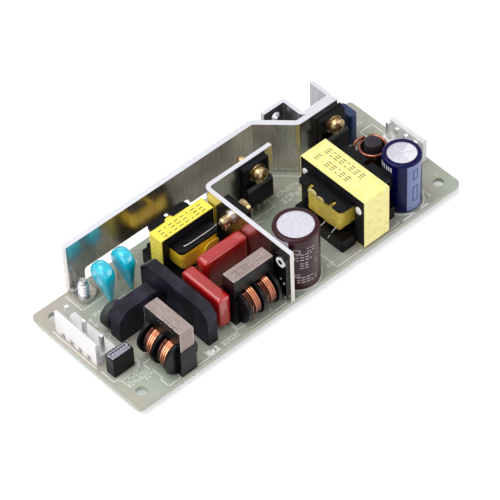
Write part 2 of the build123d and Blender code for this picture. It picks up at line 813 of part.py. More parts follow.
for k in range(4):
    lead_y = bridge_y + bridge_length / 2 + (k - 1.5) * bridge_lead_pitch
    lead = Pos(plate_x - bridge_thickness / 2, lead_y) * block(lead_side / 2, lead_side, bridge_base_z)
    device_leads.append(lead)
    note_joints(Pos(plate_x - bridge_thickness / 2, lead_y), [(0, 0)])

# Input end: header, fuse, thermistor and the mains capacitors
housing, pins, holes = make_header(input_positions, input_pins)
header = Pos(input_inset, input_header_y)
add("input_connector_housing", housing, header)
add("input_connector_pins", gather(pins), header)
cuts += [header * hole for hole in holes]

body = block(fuse_length, fuse_width, fuse_height - close_gap)
body = fillet(body.edges().filter_by(Axis.Z), fuse_corner)
fuse_place = Pos(fuse_inset + fuse_length / 2, fuse_y + fuse_width / 2)
add("fuse", body, fuse_place * Pos(0, 0, close_gap))
stand(fuse_place, [(-fuse_lead_pitch / 2, 0), (fuse_lead_pitch / 2, 0)], close_gap)

disc = Rot(-90, 0, 0) * column(thermistor_diameter / 2, thermistor_thickness)
disc = chamfer(disc.edges(), thermistor_bevel)
thermistor_place = Pos(box_small_x - thermistor_overhang + thermistor_diameter / 2, thermistor_y)
add("thermistor", disc, thermistor_place * Pos(0, 0, close_gap + thermistor_diameter / 2))
lead_x = thermistor_lead_pitch / 2
rim_x = lead_x - lead_radius
lead_z = close_gap + thermistor_diameter / 2 - sqrt(thermistor_diameter ** 2 / 4 - rim_x ** 2)
stand(thermistor_place * Pos(0, thermistor_thickness / 2), [(-lead_x, 0), (lead_x, 0)], lead_z)

box_place = Pos(box_small_x + box_small_length / 2, box_small_y + box_small_width / 2)
add("x_capacitor_small", make_boxed(box_small_length, box_small_width, box_small_height), box_place)
note_joints(box_place, [(-box_small_pitch / 2, 0), (box_small_pitch / 2, 0)])
box_place = Pos(box_large_x + box_large_width / 2, box_large_y + box_large_length / 2) * Rot(0, 0, 90)
add("x_capacitor_large", make_boxed(box_large_length, box_large_width, box_large_height), box_place)
note_joints(box_place, [(-box_large_pitch / 2, 0), (box_large_pitch / 2, 0)])

for k, name in enumerate(("y_capacitor_front", "y_capacitor_rear")):
    disc_place = Pos(disc_first_x + k * disc_spacing, disc_y)
    add(name, make_disc(), disc_place)
    stand(disc_place, [(0, -disc_lead_pitch / 2)], coating_low + disc_socket)
    stand(disc_place, [(0, disc_lead_pitch / 2)], disc_centre_z - disc_short_tail + disc_socket)

# Line filters and the dipped film capacitors
filter_places = {
    "first": Pos(filter_first_x, filter_first_y + filter_length / 2) * Rot(0, 0, -90),
    "second": Pos(filter_second_x + filter_length / 2, filter_axis_y),
}
for name, where in filter_places.items():
    core, bobbin, turns = make_filter()
    add(f"line_filter_{name}_core", core, where)
    add(f"line_filter_{name}_bobbin", bobbin, where)
    add(f"line_filter_{name}_windings", turns, where)
    note_joints(where, [(x, filter_offset + y) for x in (-filter_pin_x, filter_pin_x)
                        for y in (-filter_pin_spread, filter_pin_spread)])

dipped_leads = [(-dipped_lead_pitch / 2, 0), (dipped_lead_pitch / 2, 0)]
side_place = Pos(dipped_side_x + dipped_thickness / 2, dipped_side_y + dipped_side_length / 2) * Rot(0, 0, 90)
add("film_capacitor_side", make_dipped(dipped_side_length, dipped_side_height), side_place)
stand(side_place, dipped_leads, coating_low)
rear_place = Pos(dipped_rear_x + dipped_rear_length / 2, dipped_rear_y + dipped_thickness / 2)
add("film_capacitor_rear", make_dipped(dipped_rear_length, dipped_rear_height), rear_place)
stand(rear_place, dipped_leads, coating_low)

# Transformers
transformer_parts = ("core", "tape", "bobbin", "winding")
choke_place = Pos(choke_x, choke_y)
choke = make_transformer(
    choke_length, choke_depth, choke_height, (choke_flange_length, choke_flange_depth),
    (choke_winding_length, choke_winding_depth), (choke_base_length, choke_base_depth),
    [(0, 1)])
for name, shape in zip(transformer_parts, choke):
    add(f"small_transformer_{name}", shape, choke_place)
note_joints(choke_place, transformer_pads(choke_base_depth))

main_place = Pos(main_x, main_y) * Rot(0, 0, 90)
main = make_transformer(
    main_length, main_depth, main_height, (main_flange_length, main_flange_depth),
    (main_winding_length, main_winding_depth), (main_base_length, main_base_depth),
    [(-main_notch_offset, 1), (main_notch_offset, 1), (0, -1)])
for name, shape in zip(transformer_parts, main):
    add(f"main_transformer_{name}", shape, main_place)
note_joints(main_place, transformer_pads(main_base_depth))

# Electrolytic capacitors
for name, x, y, diameter, height, vents in (
        ("bulk_capacitor", bulk_x, bulk_y, bulk_diameter, bulk_height, 0),
        ("output_capacitor", output_cap_x, output_cap_y, output_diameter, output_height, 3)):
    can_place = Pos(x, y)
    for part_name, shape in zip(("can", "sleeve", "seal"), make_electrolytic(diameter, height, vents)):
        add(f"{name}_{part_name}", shape, can_place)
    note_joints(can_place, [(-can_lead_pitch / 2, 0), (can_lead_pitch / 2, 0)])

# Output end: choke, small boxed capacitor and header
coil_place = Pos(output_cap_x, coil_y)
rod, coil = make_coil()
add("output_choke_core", rod, coil_place)
add("output_choke_winding", coil, coil_place)
stand(coil_place, [(0, -coil_lead_pitch / 2), (0, coil_lead_pitch / 2)], coil_standoff, coil_lead_radius)

body = block(output_box_width, output_box_length, output_box_height - close_gap)
body = fillet(body.edges().filter_by(Axis.Z), output_box_corner)
body_place = Pos(board_length - output_box_end, board_width - output_box_back)
add("output_film_capacitor", body, body_place * Pos(0, 0, close_gap))
stand(body_place, [(0, -output_box_pitch / 2), (0, output_box_pitch / 2)], close_gap)

housing, pins, holes = make_header(output_positions, output_pins)
header_length = (output_positions - 1) * pin_pitch + 2 * header_end
header = Pos(output_header_x, output_header_y + header_length) * Rot(0, 0, 180)
add("output_connector_housing", housing, header)
add("output_connector_pins", gather(pins), header)
cuts += [header * hole for hole in holes]

# Groups of small parts
add("device_screws", gather(screws))
add("spring_washers", gather(springs))
add("flat_washers", gather(washers))
add("insulating_pads", gather(pads))
add("device_leads", gather(device_leads))
add("lead_wires", gather(lead_wires))

# Solder side
underside = -board_thickness
joint = loft([RegularPolygon(joint_radius, joint_sides),
              Pos(0, 0, -joint_height) * RegularPolygon(joint_tip, joint_sides)])
joint += extrude(RegularPolygon(joint_tip, joint_sides), amount=-lead_protrusion)
add("solder_joints", gather([Pos(spot.X, spot.Y, underside) * joint for spot in joints]))


def make_chip(length, width, legs):
    """Surface-mounted chip hanging under the board, with gull-wing legs along both long sides."""
    body = Pos(0, 0, -chip_height) * block(length, width, chip_height - chip_standoff)
    body = chamfer(body.edges().group_by(Axis.Z)[0], chip_standoff)
    for side in (-1, 1):
        for k in range(legs):
            leg_x = (k - (legs - 1) / 2) * chip_leg_pitch
            leg_y = side * (width + chip_leg_reach) / 2
            body += Pos(leg_x, leg_y, -chip_height / 2) * block(
                chip_leg_width, chip_leg_reach, chip_height / 2)
    return body


control_place = Pos(control_x, chip_row_y, underside)
add("control_chip", make_chip(control_length, control_width, control_legs), control_place)
optocoupler_place = Pos(optocoupler_x, chip_row_y, underside)
add("optocoupler", make_chip(optocoupler_length, optocoupler_width, optocoupler_legs), optocoupler_place)
small = Pos(0, 0, -small_chip_height) * block(small_chip_length, small_chip_width, small_chip_height)
small_chips = [control_place * Pos(x, y) * small for x, y in control_chip_places]
small_chips += [Pos(output_cap_x + x, chip_row_y + y, underside) * small for x, y in output_chip_places]
add("small_chips", gather(small_chips))

add("circuit_board", make_board(cuts))

# Files -------------------------------------------------------------------------------------------

to_frame = Pos(-board_length / 2, -board_width / 2, board_thickness)
os.makedirs("parts", exist_ok=True)
for name, shape in pieces.items():
    export_step(to_frame * shape, f"parts/{name}.step")
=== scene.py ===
# Open frame power supply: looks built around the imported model.
import bpy
import bmesh
import json
from math import atan2, cos, pi, radians, sin
from mathutils import Matrix, Vector


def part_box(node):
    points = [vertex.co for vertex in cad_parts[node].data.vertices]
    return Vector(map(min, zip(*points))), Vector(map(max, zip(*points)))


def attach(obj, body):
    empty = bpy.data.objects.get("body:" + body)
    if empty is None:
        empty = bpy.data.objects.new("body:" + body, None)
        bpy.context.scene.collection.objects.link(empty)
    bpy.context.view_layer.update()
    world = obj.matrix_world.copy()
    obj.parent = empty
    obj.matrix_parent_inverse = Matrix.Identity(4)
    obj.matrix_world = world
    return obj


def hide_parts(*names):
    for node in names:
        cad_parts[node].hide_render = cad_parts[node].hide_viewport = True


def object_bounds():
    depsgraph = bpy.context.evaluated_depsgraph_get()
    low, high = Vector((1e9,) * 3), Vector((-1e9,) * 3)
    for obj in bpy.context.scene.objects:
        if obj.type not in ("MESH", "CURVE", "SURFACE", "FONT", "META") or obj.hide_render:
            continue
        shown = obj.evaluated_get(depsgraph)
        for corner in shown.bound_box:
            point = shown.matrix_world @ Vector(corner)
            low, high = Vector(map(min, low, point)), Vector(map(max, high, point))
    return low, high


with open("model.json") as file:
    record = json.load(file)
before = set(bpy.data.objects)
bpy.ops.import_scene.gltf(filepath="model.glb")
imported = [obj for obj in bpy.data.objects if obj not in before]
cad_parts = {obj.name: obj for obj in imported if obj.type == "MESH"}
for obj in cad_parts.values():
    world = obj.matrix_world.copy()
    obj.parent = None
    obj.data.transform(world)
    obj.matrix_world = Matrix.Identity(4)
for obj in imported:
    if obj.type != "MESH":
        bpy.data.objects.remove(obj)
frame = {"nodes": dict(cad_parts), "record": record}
nodes = frame["nodes"]
cadBox = [list(corner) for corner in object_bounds()]
mm = 0.001
print("frame loaded:", len(nodes), "nodes")


# shader maths and finishes

class Signal:
    # a value in a material: python operators on it add Math nodes

    def __init__(self, finish, socket):
        self.finish = finish
        self.socket = socket

    def reckon(self, operation, *values):
        return self.finish.add("ShaderNodeMath", {"operation": operation}, dict(enumerate(values)))

    def __add__(self, other):
        return self.reckon("ADD", self, other)

    def __radd__(self, other):
        return self.reckon("ADD", other, self)

    def __sub__(self, other):
        return self.reckon("SUBTRACT", self, other)

    def __rsub__(self, other):
        return self.reckon("SUBTRACT", other, self)

    def __mul__(self, other):
        return self.reckon("MULTIPLY", self, other)

    def __rmul__(self, other):
        return self.reckon("MULTIPLY", other, self)

    def __gt__(self, other):
        return self.reckon("GREATER_THAN", self, other)

    def __lt__(self, other):
        return self.reckon("LESS_THAN", self, other)

    def size(self):
        return self.reckon("ABSOLUTE", self)

    def wrap(self, period):
        return self.reckon("PINGPONG", self, period)

    def most(self, other):
        return self.reckon("MAXIMUM", self, other)

    def ramp(self, low, high, start=0.0, end=1.0):
        return self.finish.add("ShaderNodeMapRange", {"interpolation_type": "SMOOTHSTEP"}, {
            "Value": self, "From Min": low, "From Max": high, "To Min": start, "To Max": end})


class Finish:
    # a material around one Principled shader

    def __init__(self, name, colour, roughness, **fixed):
        self.material = bpy.data.materials.new(name)
        self.material.use_nodes = True
        self.tree = self.material.node_tree
        self.shader = self.tree.nodes["Principled BSDF"]
        self.set("Base Color", colour)
        self.set("Roughness", roughness)
        for key, value in fixed.items():
            self.set(key.replace("_", " "), value)

    def set(self, socketName, value):
        self.feed(self.shader.inputs[socketName], value)

    def feed(self, socket, value):
        if isinstance(value, Signal):
            self.tree.links.new(value.socket, socket)
        elif socket.type == "RGBA" and len(value) == 3:
            socket.default_value = (*value, 1.0)
        else:
            socket.default_value = value

    def add(self, kind, settings=None, values=None, output=0):
        node = self.tree.nodes.new(kind)
        for key, value in (settings or {}).items():
            setattr(node, key, value)
        for key, value in (values or {}).items():
            self.feed(node.inputs[key], value)
        return Signal(self, node.outputs[output])

    def place(self, stretch=(1, 1, 1), centre=(0, 0, 0)):
        # object coordinates in millimetres
        return self.add("ShaderNodeMapping", {}, {
            "Vector": self.add("ShaderNodeTexCoord", output="Object"),
            "Scale": tuple(s / mm for s in stretch),
            "Location": tuple(-c * s for c, s in zip(centre, stretch))})

    def axis(self, vector, which):
        return self.add("ShaderNodeSeparateXYZ", {}, {"Vector": vector}, "XYZ".index(which))

    def noise(self, vector, scale, detail=2.0, roughness=0.5):
        return self.add("ShaderNodeTexNoise", {}, {
            "Vector": vector, "Scale": scale, "Detail": detail, "Roughness": roughness})

    def mix(self, factor, first, second):
        # a colour between two others; on a colour mix, inputs 6 and 7 are the colours and output 2 the result
        return self.add("ShaderNodeMix", {"data_type": "RGBA"}, {0: factor, 6: first, 7: second}, 2)

    def bump(self, height, strength, distance=0.0001):
        values = {"Strength": strength, "Distance": distance, "Height": height}
        self.set("Normal", self.add("ShaderNodeBump", {}, values))

    def coat(self, weight, roughness):
        self.set("Coat Weight", weight)
        self.set("Coat Roughness", roughness)


def shade(red, green, blue):
    # a colour as a display shows it, 0 to 255
    return tuple((part / 255) ** 2.2 for part in (red, green, blue))


# camera, lights and floor

camera = {
    "from": (-393.7, -463.0, 663.4),       # millimetres in the frame
    "aim": (-2.83, -3.38, 5.53),
    "roll": -2.55, "lens": 212.05, "sensor": 36.0,
}
studio = {
    "overhead": {"place": (-0.25, 0.25, 0.95), "size": (0.9, 0.9), "power": 8.5},
    "left": {"place": (-0.85, -0.15, 0.45), "size": (0.6, 0.8), "power": 4.0},
    "right": {"place": (0.55, -0.75, 0.40), "size": (0.7, 0.5), "power": 3.4},
}
world = {"light": 0.34, "seen": 1.0}
floorTone = {"colour": shade(232, 232, 234), "lift": 0.42, "reach": 4.0}


def newObject(name, data):
    thing = bpy.data.objects.new(name, data)
    bpy.context.scene.collection.objects.link(thing)
    return thing


def lookFrom(thing, place, aim, roll=0.0):
    # stands a camera or lamp at a place, turned to look at another
    turn = (aim - place).to_track_quat("-Z", "Y").to_matrix().to_4x4()
    thing.matrix_world = Matrix.Translation(place) @ turn @ Matrix.Rotation(radians(roll), 4, "Z")


def makeCamera():
    data = bpy.data.cameras.new("camera")
    data.lens = camera["lens"]
    data.sensor_width = camera["sensor"]
    data.clip_end = 10.0
    thing = newObject("camera", data)
    lookFrom(thing, Vector(camera["from"]) * mm, Vector(camera["aim"]) * mm, camera["roll"])
    bpy.context.scene.camera = thing


def makeLamp(name, lamp):
    data = bpy.data.lights.new(name, "AREA")
    data.shape = "RECTANGLE"
    data.size, data.size_y = lamp["size"]
    data.energy = lamp["power"]
    lookFrom(newObject(name, data), Vector(lamp["place"]), Vector((0, 0, 0)))


def seenByCamera(add):
    # 1 for rays that should find a white background
    seen, glossy, clear = (add("ShaderNodeLightPath", output="Is " + kind + " Ray")
                           for kind in ("Camera", "Glossy", "Transmission"))
    return seen.most(glossy).most(clear)


def makeWorld():
    sky = bpy.data.worlds.new("studio")
    sky.use_nodes = True
    bpy.context.scene.world = sky
    backdrop = sky.node_tree.nodes["Background"]
    wrap = Finish.__new__(Finish)
    wrap.tree = sky.node_tree
    white = seenByCamera(wrap.add)
    wrap.feed(backdrop.inputs["Color"], (1.0, 1.0, 1.0))
    wrap.feed(backdrop.inputs["Strength"], white * (world["seen"] - world["light"]) + world["light"])


def makeFloor():
    form = bmesh.new()
    bmesh.ops.create_grid(form, x_segments=1, y_segments=1, size=floorTone["reach"])
    bmesh.ops.translate(form, vec=(0, 0, cadBox[0][2]), verts=form.verts)
    data = bpy.data.meshes.new("floor")
    form.to_mesh(data)
    form.free()
    finish = Finish("floor", floorTone["colour"], 0.9)
    white = seenByCamera(finish.add)
    lift = floorTone["lift"]
    finish.set("Emission Strength", 1.0)
    finish.set("Emission Color", finish.mix(white, (0, 0, 0), (lift, lift, lift)))
    data.materials.append(finish.material)
    newObject("floor", data)


bpy.context.scene.view_settings.view_transform = "Standard"
makeCamera()
for lampName, lamp in studio.items():
    makeLamp(lampName, lamp)
makeWorld()
makeFloor()
print("camera, lights and floor made")


# shaping, in millimetres in the frame

def corners(node):
    low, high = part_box(node)
    return low / mm, high / mm


def middle(node):
    low, high = corners(node)
    return (low + high) / 2


def slab(form, low, high, bevel=0.0, segments=2):
    # box between two corners, its edges rounded
    made = bmesh.ops.create_cube(form, size=1.0)["verts"]
    low, high = Vector(low), Vector(high)
    bmesh.ops.scale(form, vec=high - low, verts=made)
    bmesh.ops.translate(form, vec=(low + high) / 2, verts=made)
    if bevel:
        edges = list({edge for vert in made for edge in vert.link_edges})
        bevelEdges(form, edges, bevel, segments)


def bevelEdges(form, edges, offset, segments):
    bmesh.ops.bevel(form, geom=edges, offset=offset, affect="EDGES", segments=segments, profile=0.5,
                    material=-1)


def facesOut(form, before):
    # verts made since before was taken, with their faces turned outwards
    fresh = [vert for vert in form.verts if vert not in before]
    bmesh.ops.recalc_face_normals(form, faces=list({face for vert in fresh for face in vert.link_faces}))
    return fresh


def capEnds(form, first, spun):
    # close both ends of a spin that doesn't meet itself
    last = [edge for edge in spun["geom_last"] if isinstance(edge, bmesh.types.BMEdge)]
    for rim in (first, last):
        bmesh.ops.contextual_create(form, geom=rim)


def lathe(form, outline, place=Matrix.Identity(4), steps=32):
    # outline of (radius, height) turned round z, then put in place
    made = [form.verts.new((radius, 0, height)) for radius, height in outline]
    edges = [form.edges.new(pair) for pair in zip(made, made[1:])]
    before = set(form.verts) - set(made)
    bmesh.ops.spin(form, geom=made + edges, cent=(0, 0, 0), axis=(0, 0, 1), angle=2 * pi, steps=steps,
                   use_merge=True)
    turned = [vert for vert in form.verts if vert not in before]
    bmesh.ops.remove_doubles(form, verts=turned, dist=0.001)
    bmesh.ops.transform(form, matrix=place, verts=facesOut(form, before))


def hoop(inner, outer, foot, top):
    # outline of a ring with a square section
    return [(inner, foot), (outer, foot), (outer, top), (inner, top), (inner, foot)]


def helix(form, radius, wire, turns, length, place=Matrix.Identity(4), sides=8, steps=24):
    # close coil of round wire round z, starting at z = 0
    before = set(form.verts)
    ring = bmesh.ops.create_circle(form, segments=sides, radius=wire / 2)["verts"]
    bmesh.ops.rotate(form, cent=(0, 0, 0), matrix=Matrix.Rotation(pi / 2, 3, "X"), verts=ring)
    bmesh.ops.translate(form, vec=(radius, 0, wire / 2), verts=ring)
    edges = list({edge for vert in ring for edge in vert.link_edges})
    count = int(turns * steps)
    spun = bmesh.ops.spin(form, geom=ring + edges, cent=(0, 0, 0), axis=(0, 0, 1),
                          dvec=(0, 0, (length - wire) / count), angle=2 * pi * turns, steps=count)
    capEnds(form, edges, spun)
    bmesh.ops.transform(form, matrix=place, verts=facesOut(form, before))


def joinObject(name, data, slotName, finish=None, standsFor=()):
    # mesh or wire data becomes a piece on the root body, in its slot's finish unless it has its own
    piece = newObject(name, data)
    data.materials.append((finish or finishes[slotName]).material)
    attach(piece, "root")
    if standsFor:
        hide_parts(*standsFor)
    return piece


def makePiece(name, form, slotName, finish=None, standsFor=(), crease=35):
    # a bmesh in millimetres becomes a piece, sharp where its faces meet at more than the crease
    bmesh.ops.scale(form, vec=(mm, mm, mm), verts=form.verts)
    data = bpy.data.meshes.new(name)
    form.to_mesh(data)
    form.free()
    data.shade_smooth()
    data.set_sharp_from_angle(angle=radians(crease))
    return joinObject(name, data, slotName, finish, standsFor)


def settle(piece, *modifiers):
    # apply modifiers given as (type, settings)
    for kind, settings in modifiers:
        modifier = piece.modifiers.new(kind.lower(), kind)
        for key, value in settings.items():
            setattr(modifier, key, value)
    bpy.context.view_layer.update()
    baked = bpy.data.meshes.new_from_object(piece.evaluated_get(bpy.context.evaluated_depsgraph_get()))
    piece.modifiers.clear()
    piece.data = baked


def melt(piece, voxel, factor, rounds, *between):
    # one skin over everything in the piece, softened
    settle(piece, ("REMESH", {"mode": "VOXEL", "voxel_size": voxel * mm, "use_smooth_shade": True}), *between,
           ("SMOOTH", {"factor": factor, "iterations": rounds}))


def makeWires(name, routes, radius, slotName, finish=None):
    # round wires along lists of points
    data = bpy.data.curves.new(name, "CURVE")
    data.dimensions = "3D"
    data.bevel_depth = radius * mm
    data.bevel_resolution = 3
    data.use_fill_caps = True
    for points in routes:
        line = data.splines.new("NURBS")
        line.points.add(len(points) - 1)
        for stop, point in zip(line.points, points):
            stop.co = (*(Vector(point) * mm), 1.0)
        line.order_u = 3
        line.use_endpoint_u = True
        line.resolution_u = 6
    joinObject(name, data, slotName, finish)


# finishes

tones = {
    "mask": shade(158, 168, 153), "laminate": shade(190, 192, 172), "brass": shade(202, 182, 142),
    "ferrite": shade(160, 144, 140), "ferriteGrain": shade(126, 110, 106),
    "windingShade": shade(214, 150, 32), "can": shade(214, 211, 224),
}


def speckle(finish, colour, other, scale, low, high, strength=0.0, distance=0.00005):
    # fine grain in colour, and in relief where strength is given
    grain = finish.noise(finish.place(), scale, 3.0)
    finish.set("Base Color", finish.mix(grain.ramp(low, high), colour, other))
    if strength:
        finish.bump(grain, strength, distance)
    return grain


def makeBoard(name):
    finish = Finish(name, tones["mask"], 0.42)
    spot = finish.place()
    height = finish.axis(spot, "Z")
    # copper pours and tracks show through the mask as straight-edged patches and fine lines
    blocks = {"distance": "CHEBYCHEV"}
    patches = finish.add("ShaderNodeTexVoronoi", blocks, {"Vector": spot, "Scale": 0.2, "Randomness": 0.8}, 1)
    patch = finish.add("ShaderNodeSeparateColor", {}, {"Color": patches})
    tracks = finish.add("ShaderNodeTexVoronoi", dict(blocks, feature="F2"),
                        {"Vector": spot, "Scale": 0.34, "Randomness": 0.55})
    track = (tracks.wrap(0.055) < 0.012) * (patch > 0.35)
    pour = patch > 0.55
    slow = finish.noise(spot, 0.05, 2.0).ramp(0.4, 0.62)
    weave = finish.noise(finish.place(stretch=(1, 6, 1)), 1.6, 3.0)
    top = finish.mix(pour * 0.6, tones["mask"], shade(146, 155, 141))
    # the finish turns warmer towards the input end's rear corner
    corner = finish.axis(spot, "X").ramp(-60, -46, 1.0, 0.0) * finish.axis(spot, "Y").ramp(-16, 0)
    top = finish.mix((slow * 0.6).most(corner * 0.85), top, shade(170, 158, 150))
    top = finish.mix(track * 0.3, top, tones["laminate"])
    top = finish.mix(weave.ramp(0.35, 0.7) * 0.15, top, tones["laminate"])
    under = finish.mix((patch > 0.4) * 0.6, shade(46, 104, 62), shade(66, 128, 76))
    under = finish.mix(track, under, shade(34, 84, 50))
    edge = finish.mix(weave, tones["laminate"], shade(150, 146, 142))
    skin = 0.03
    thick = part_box("circuit_board")[1].z / mm
    finish.set("Base Color", finish.mix(height > thick - skin, finish.mix(height > skin, under, edge), top))
    finish.set("Roughness", weave * 0.12 + 0.36)
    finish.bump(weave * 0.3 + pour * 0.4 + track * 0.4, 0.12, 0.00003)
    return finish


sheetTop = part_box("main_heatsink")[1].z / mm


def makeRolled(name, colour, streak, roughness, stretch=(1, 1, 0.05)):
    # rolled sheet metal: faint upright streaks, matt and pale on the sheared edge along the top
    finish = Finish(name, colour, roughness, Metallic=1.0)
    lines = finish.noise(finish.place(stretch=stretch), 2.2, 4.0, 0.6)
    blots = finish.noise(finish.place(), 0.12, 3.0)
    sheared = finish.axis(finish.place(), "Z") > sheetTop - 0.03
    face = finish.mix(lines.ramp(0.3, 0.7) * 0.8, colour, streak)
    finish.set("Base Color", finish.mix(sheared, face, shade(198, 197, 203)))
    finish.set("Roughness", lines * 0.10 + blots * 0.12 + (roughness - 0.10) + sheared * 0.34)
    finish.bump(lines, 0.10, 0.00002)
    return finish


def makeMetal(name, colour, other, roughness, scale=0.8):
    finish = Finish(name, colour, roughness, Metallic=1.0)
    mottle = speckle(finish, colour, other, scale, 0.35, 0.7, 0.12, 0.00002)
    finish.set("Roughness", mottle * 0.2 + (roughness - 0.08))
    return finish


def makeMoulded(name, colour, dustAndSheen, roughness, grain=2.5, relief=0.25, share=0.25, shine=0.5):
    # moulded plastic: fine matt grain, a little dust in the tone; on the black case that second tone is a
    # painted purple sheen
    finish = Finish(name, colour, roughness, Specular_IOR_Level=shine)
    pits = finish.noise(finish.place(), grain, 3.0)
    slow = finish.noise(finish.place(), 0.2, 2.0)
    finish.set("Base Color", finish.mix(slow.ramp(0.35, 0.7) * share, colour, dustAndSheen))
    finish.set("Roughness", pits * 0.16 + (roughness - 0.06))
    finish.bump(pits, relief, 0.00003)
    return finish


def makeGlossy(name, colour, other, roughness, ripple=0.3):
    # dipped resin: smooth, wet-looking, with slow waves
    finish = Finish(name, colour, roughness)
    waves = finish.noise(finish.place(), 0.5, 2.0)
    finish.set("Base Color", finish.mix(waves.ramp(0.3, 0.7) * 0.5, colour, other))
    finish.bump(waves, ripple, 0.0003)
    finish.coat(0.8, 0.06)
    return finish


def makeWire(name, colour, dark, roughness=0.28, patch=0.35, bright=14.0, dull=6.0):
    # enamelled copper: metal under a thin clear coat, darker in random patches of thicker varnish, with
    # painted shade darkening it low down
    finish = Finish(name, colour, roughness, Metallic=0.85)
    # painted shade: the copper darkens from the bright height down to the dull one
    run = finish.axis(finish.place(), "Z").ramp(dull, bright, 1.0, 0.0)
    thick = (finish.noise(finish.place(), patch, 3.0).ramp(0.4, 0.68) * 0.5).most(run)
    finish.set("Base Color", finish.mix(thick, colour, dark))
    finish.set("Roughness", thick * 0.12 + (roughness - 0.05))
    finish.coat(0.5, 0.15)
    return finish


def makeTape(name, colour, edge, crinkle=0.35):
    # plastic film tape: glossy, lightly creased, with a darker tone painted along the creases as shade
    finish = Finish(name, colour, 0.28)
    creases = finish.noise(finish.place(stretch=(1, 1, 1.6)), 0.55, 4.0, 0.55)
    # the second tone is painted shade, following the crease pattern
    finish.set("Base Color", finish.mix(creases.ramp(0.4, 0.72) * 0.5, colour, edge))
    finish.set("Roughness", creases * 0.22 + 0.2)
    finish.bump(creases, crinkle, 0.00025)
    return finish


finishRecipes = {
    "board": (makeBoard,),
    "heatsink_aluminium": (makeRolled, shade(212, 207, 203), shade(178, 173, 170), 0.24),
    "bracket_steel": (makeRolled, shade(176, 174, 178), shade(150, 148, 154), 0.34),
    "zinc_screw": (makeMetal, shade(222, 222, 224), shade(196, 198, 204), 0.26, 1.2),
    "yellow_screw": (makeMetal, tones["brass"], shade(150, 122, 82), 0.26, 1.2),
    "tinned_lead": (makeMetal, shade(216, 214, 210), shade(186, 186, 182), 0.30, 1.5),
    "white_nylon": (makeMoulded, shade(228, 226, 226), shade(212, 212, 210), 0.38),
    "black_mould": (makeMoulded, shade(13, 13, 15), shade(36, 34, 40), 0.28, 2.5, 0.12, 0.2, 0.14),
    # its second tone is a painted purple sheen in slow blotches
    "black_case": (makeMoulded, shade(19, 18, 25), shade(62, 58, 78), 0.5, 3.2, 0.6, 0.4, 0.2),
    "blue_mask_case": (makeMoulded, shade(26, 48, 88), shade(32, 58, 104), 0.36),
    "dark_disc": (makeMoulded, shade(34, 40, 38), shade(58, 62, 60), 0.55, 2.0, 0.5),
    "cyan_coating": (makeGlossy, shade(4, 196, 220), shade(6, 138, 178), 0.2),
    "red_coating": (makeGlossy, shade(172, 24, 24), shade(150, 20, 20), 0.3, 0.15),
    "filter_ferrite": (makeMoulded, tones["ferrite"], tones["ferriteGrain"], 0.42, 5.0, 0.5, 0.6),
    "dark_ferrite": (makeMoulded, shade(26, 24, 27), shade(48, 46, 52), 0.42, 3.0, 0.4, 0.3, 0.16),
    "copper_wire": (makeWire, shade(240, 158, 118), shade(96, 34, 16)),
    "yellow_tape": (makeTape, shade(250, 230, 86), shade(214, 182, 44)),
    "taped_winding": (makeTape, shade(250, 212, 54), tones["windingShade"], 0.6),
    "maroon_sleeve": (makeMoulded, shade(52, 18, 27), shade(40, 16, 22), 0.26, 0.9, 0.1, 0.25, 0.25),
    "blue_sleeve": (makeMoulded, shade(13, 10, 66), shade(10, 8, 50), 0.26, 0.9, 0.1, 0.25, 0.16),
    "can_aluminium": (makeMetal, tones["can"], shade(198, 196, 208), 0.34, 0.9),
    "rubber_seal": (makeMoulded, shade(34, 34, 34), shade(52, 52, 52), 0.7, 2.0, 0.5),
    "grey_pad": (makeMoulded, shade(42, 42, 46), shade(60, 60, 64), 0.55, 1.6, 0.4, 0.3, 0.2),
    "solder": (makeMetal, shade(196, 198, 200), shade(168, 170, 174), 0.22, 0.7),
}
finishes = {slot: make(slot, *values) for slot, (make, *values) in finishRecipes.items()}
rodFerrite = makeMoulded("rodFerrite", shade(48, 44, 50), shade(62, 58, 64), 0.42, 3.0, 0.4, 0.3, 0.2)
# choke copper, with its painted shade below its top turns
chokeWire = makeWire("chokeWire", shade(146, 84, 64), shade(60, 20, 16), 0.2, 0.5, 16.0, 13.0)
# a darker copy of the copper for the filter coils' full under layer: painted shade
shadedUnderWire = makeWire("shadedUnderWire", shade(120, 56, 34), shade(40, 14, 10), 0.26, 0.5, 16.0, 8.0)
paleTape = makeTape("paleTape", shade(246, 236, 152), shade(214, 198, 104), 0.2)
paleWinding = makeTape("paleWinding", shade(244, 220, 92), tones["windingShade"], 0.6)
whiteInk = makeMoulded("whiteInk", shade(232, 234, 230), shade(206, 208, 204), 0.6, 3.0, 0.2)
fuseInk = makeMoulded("fuseInk", shade(188, 188, 206), shade(160, 160, 180), 0.6, 3.0, 0.2)
print("finishes made:", len(finishes))


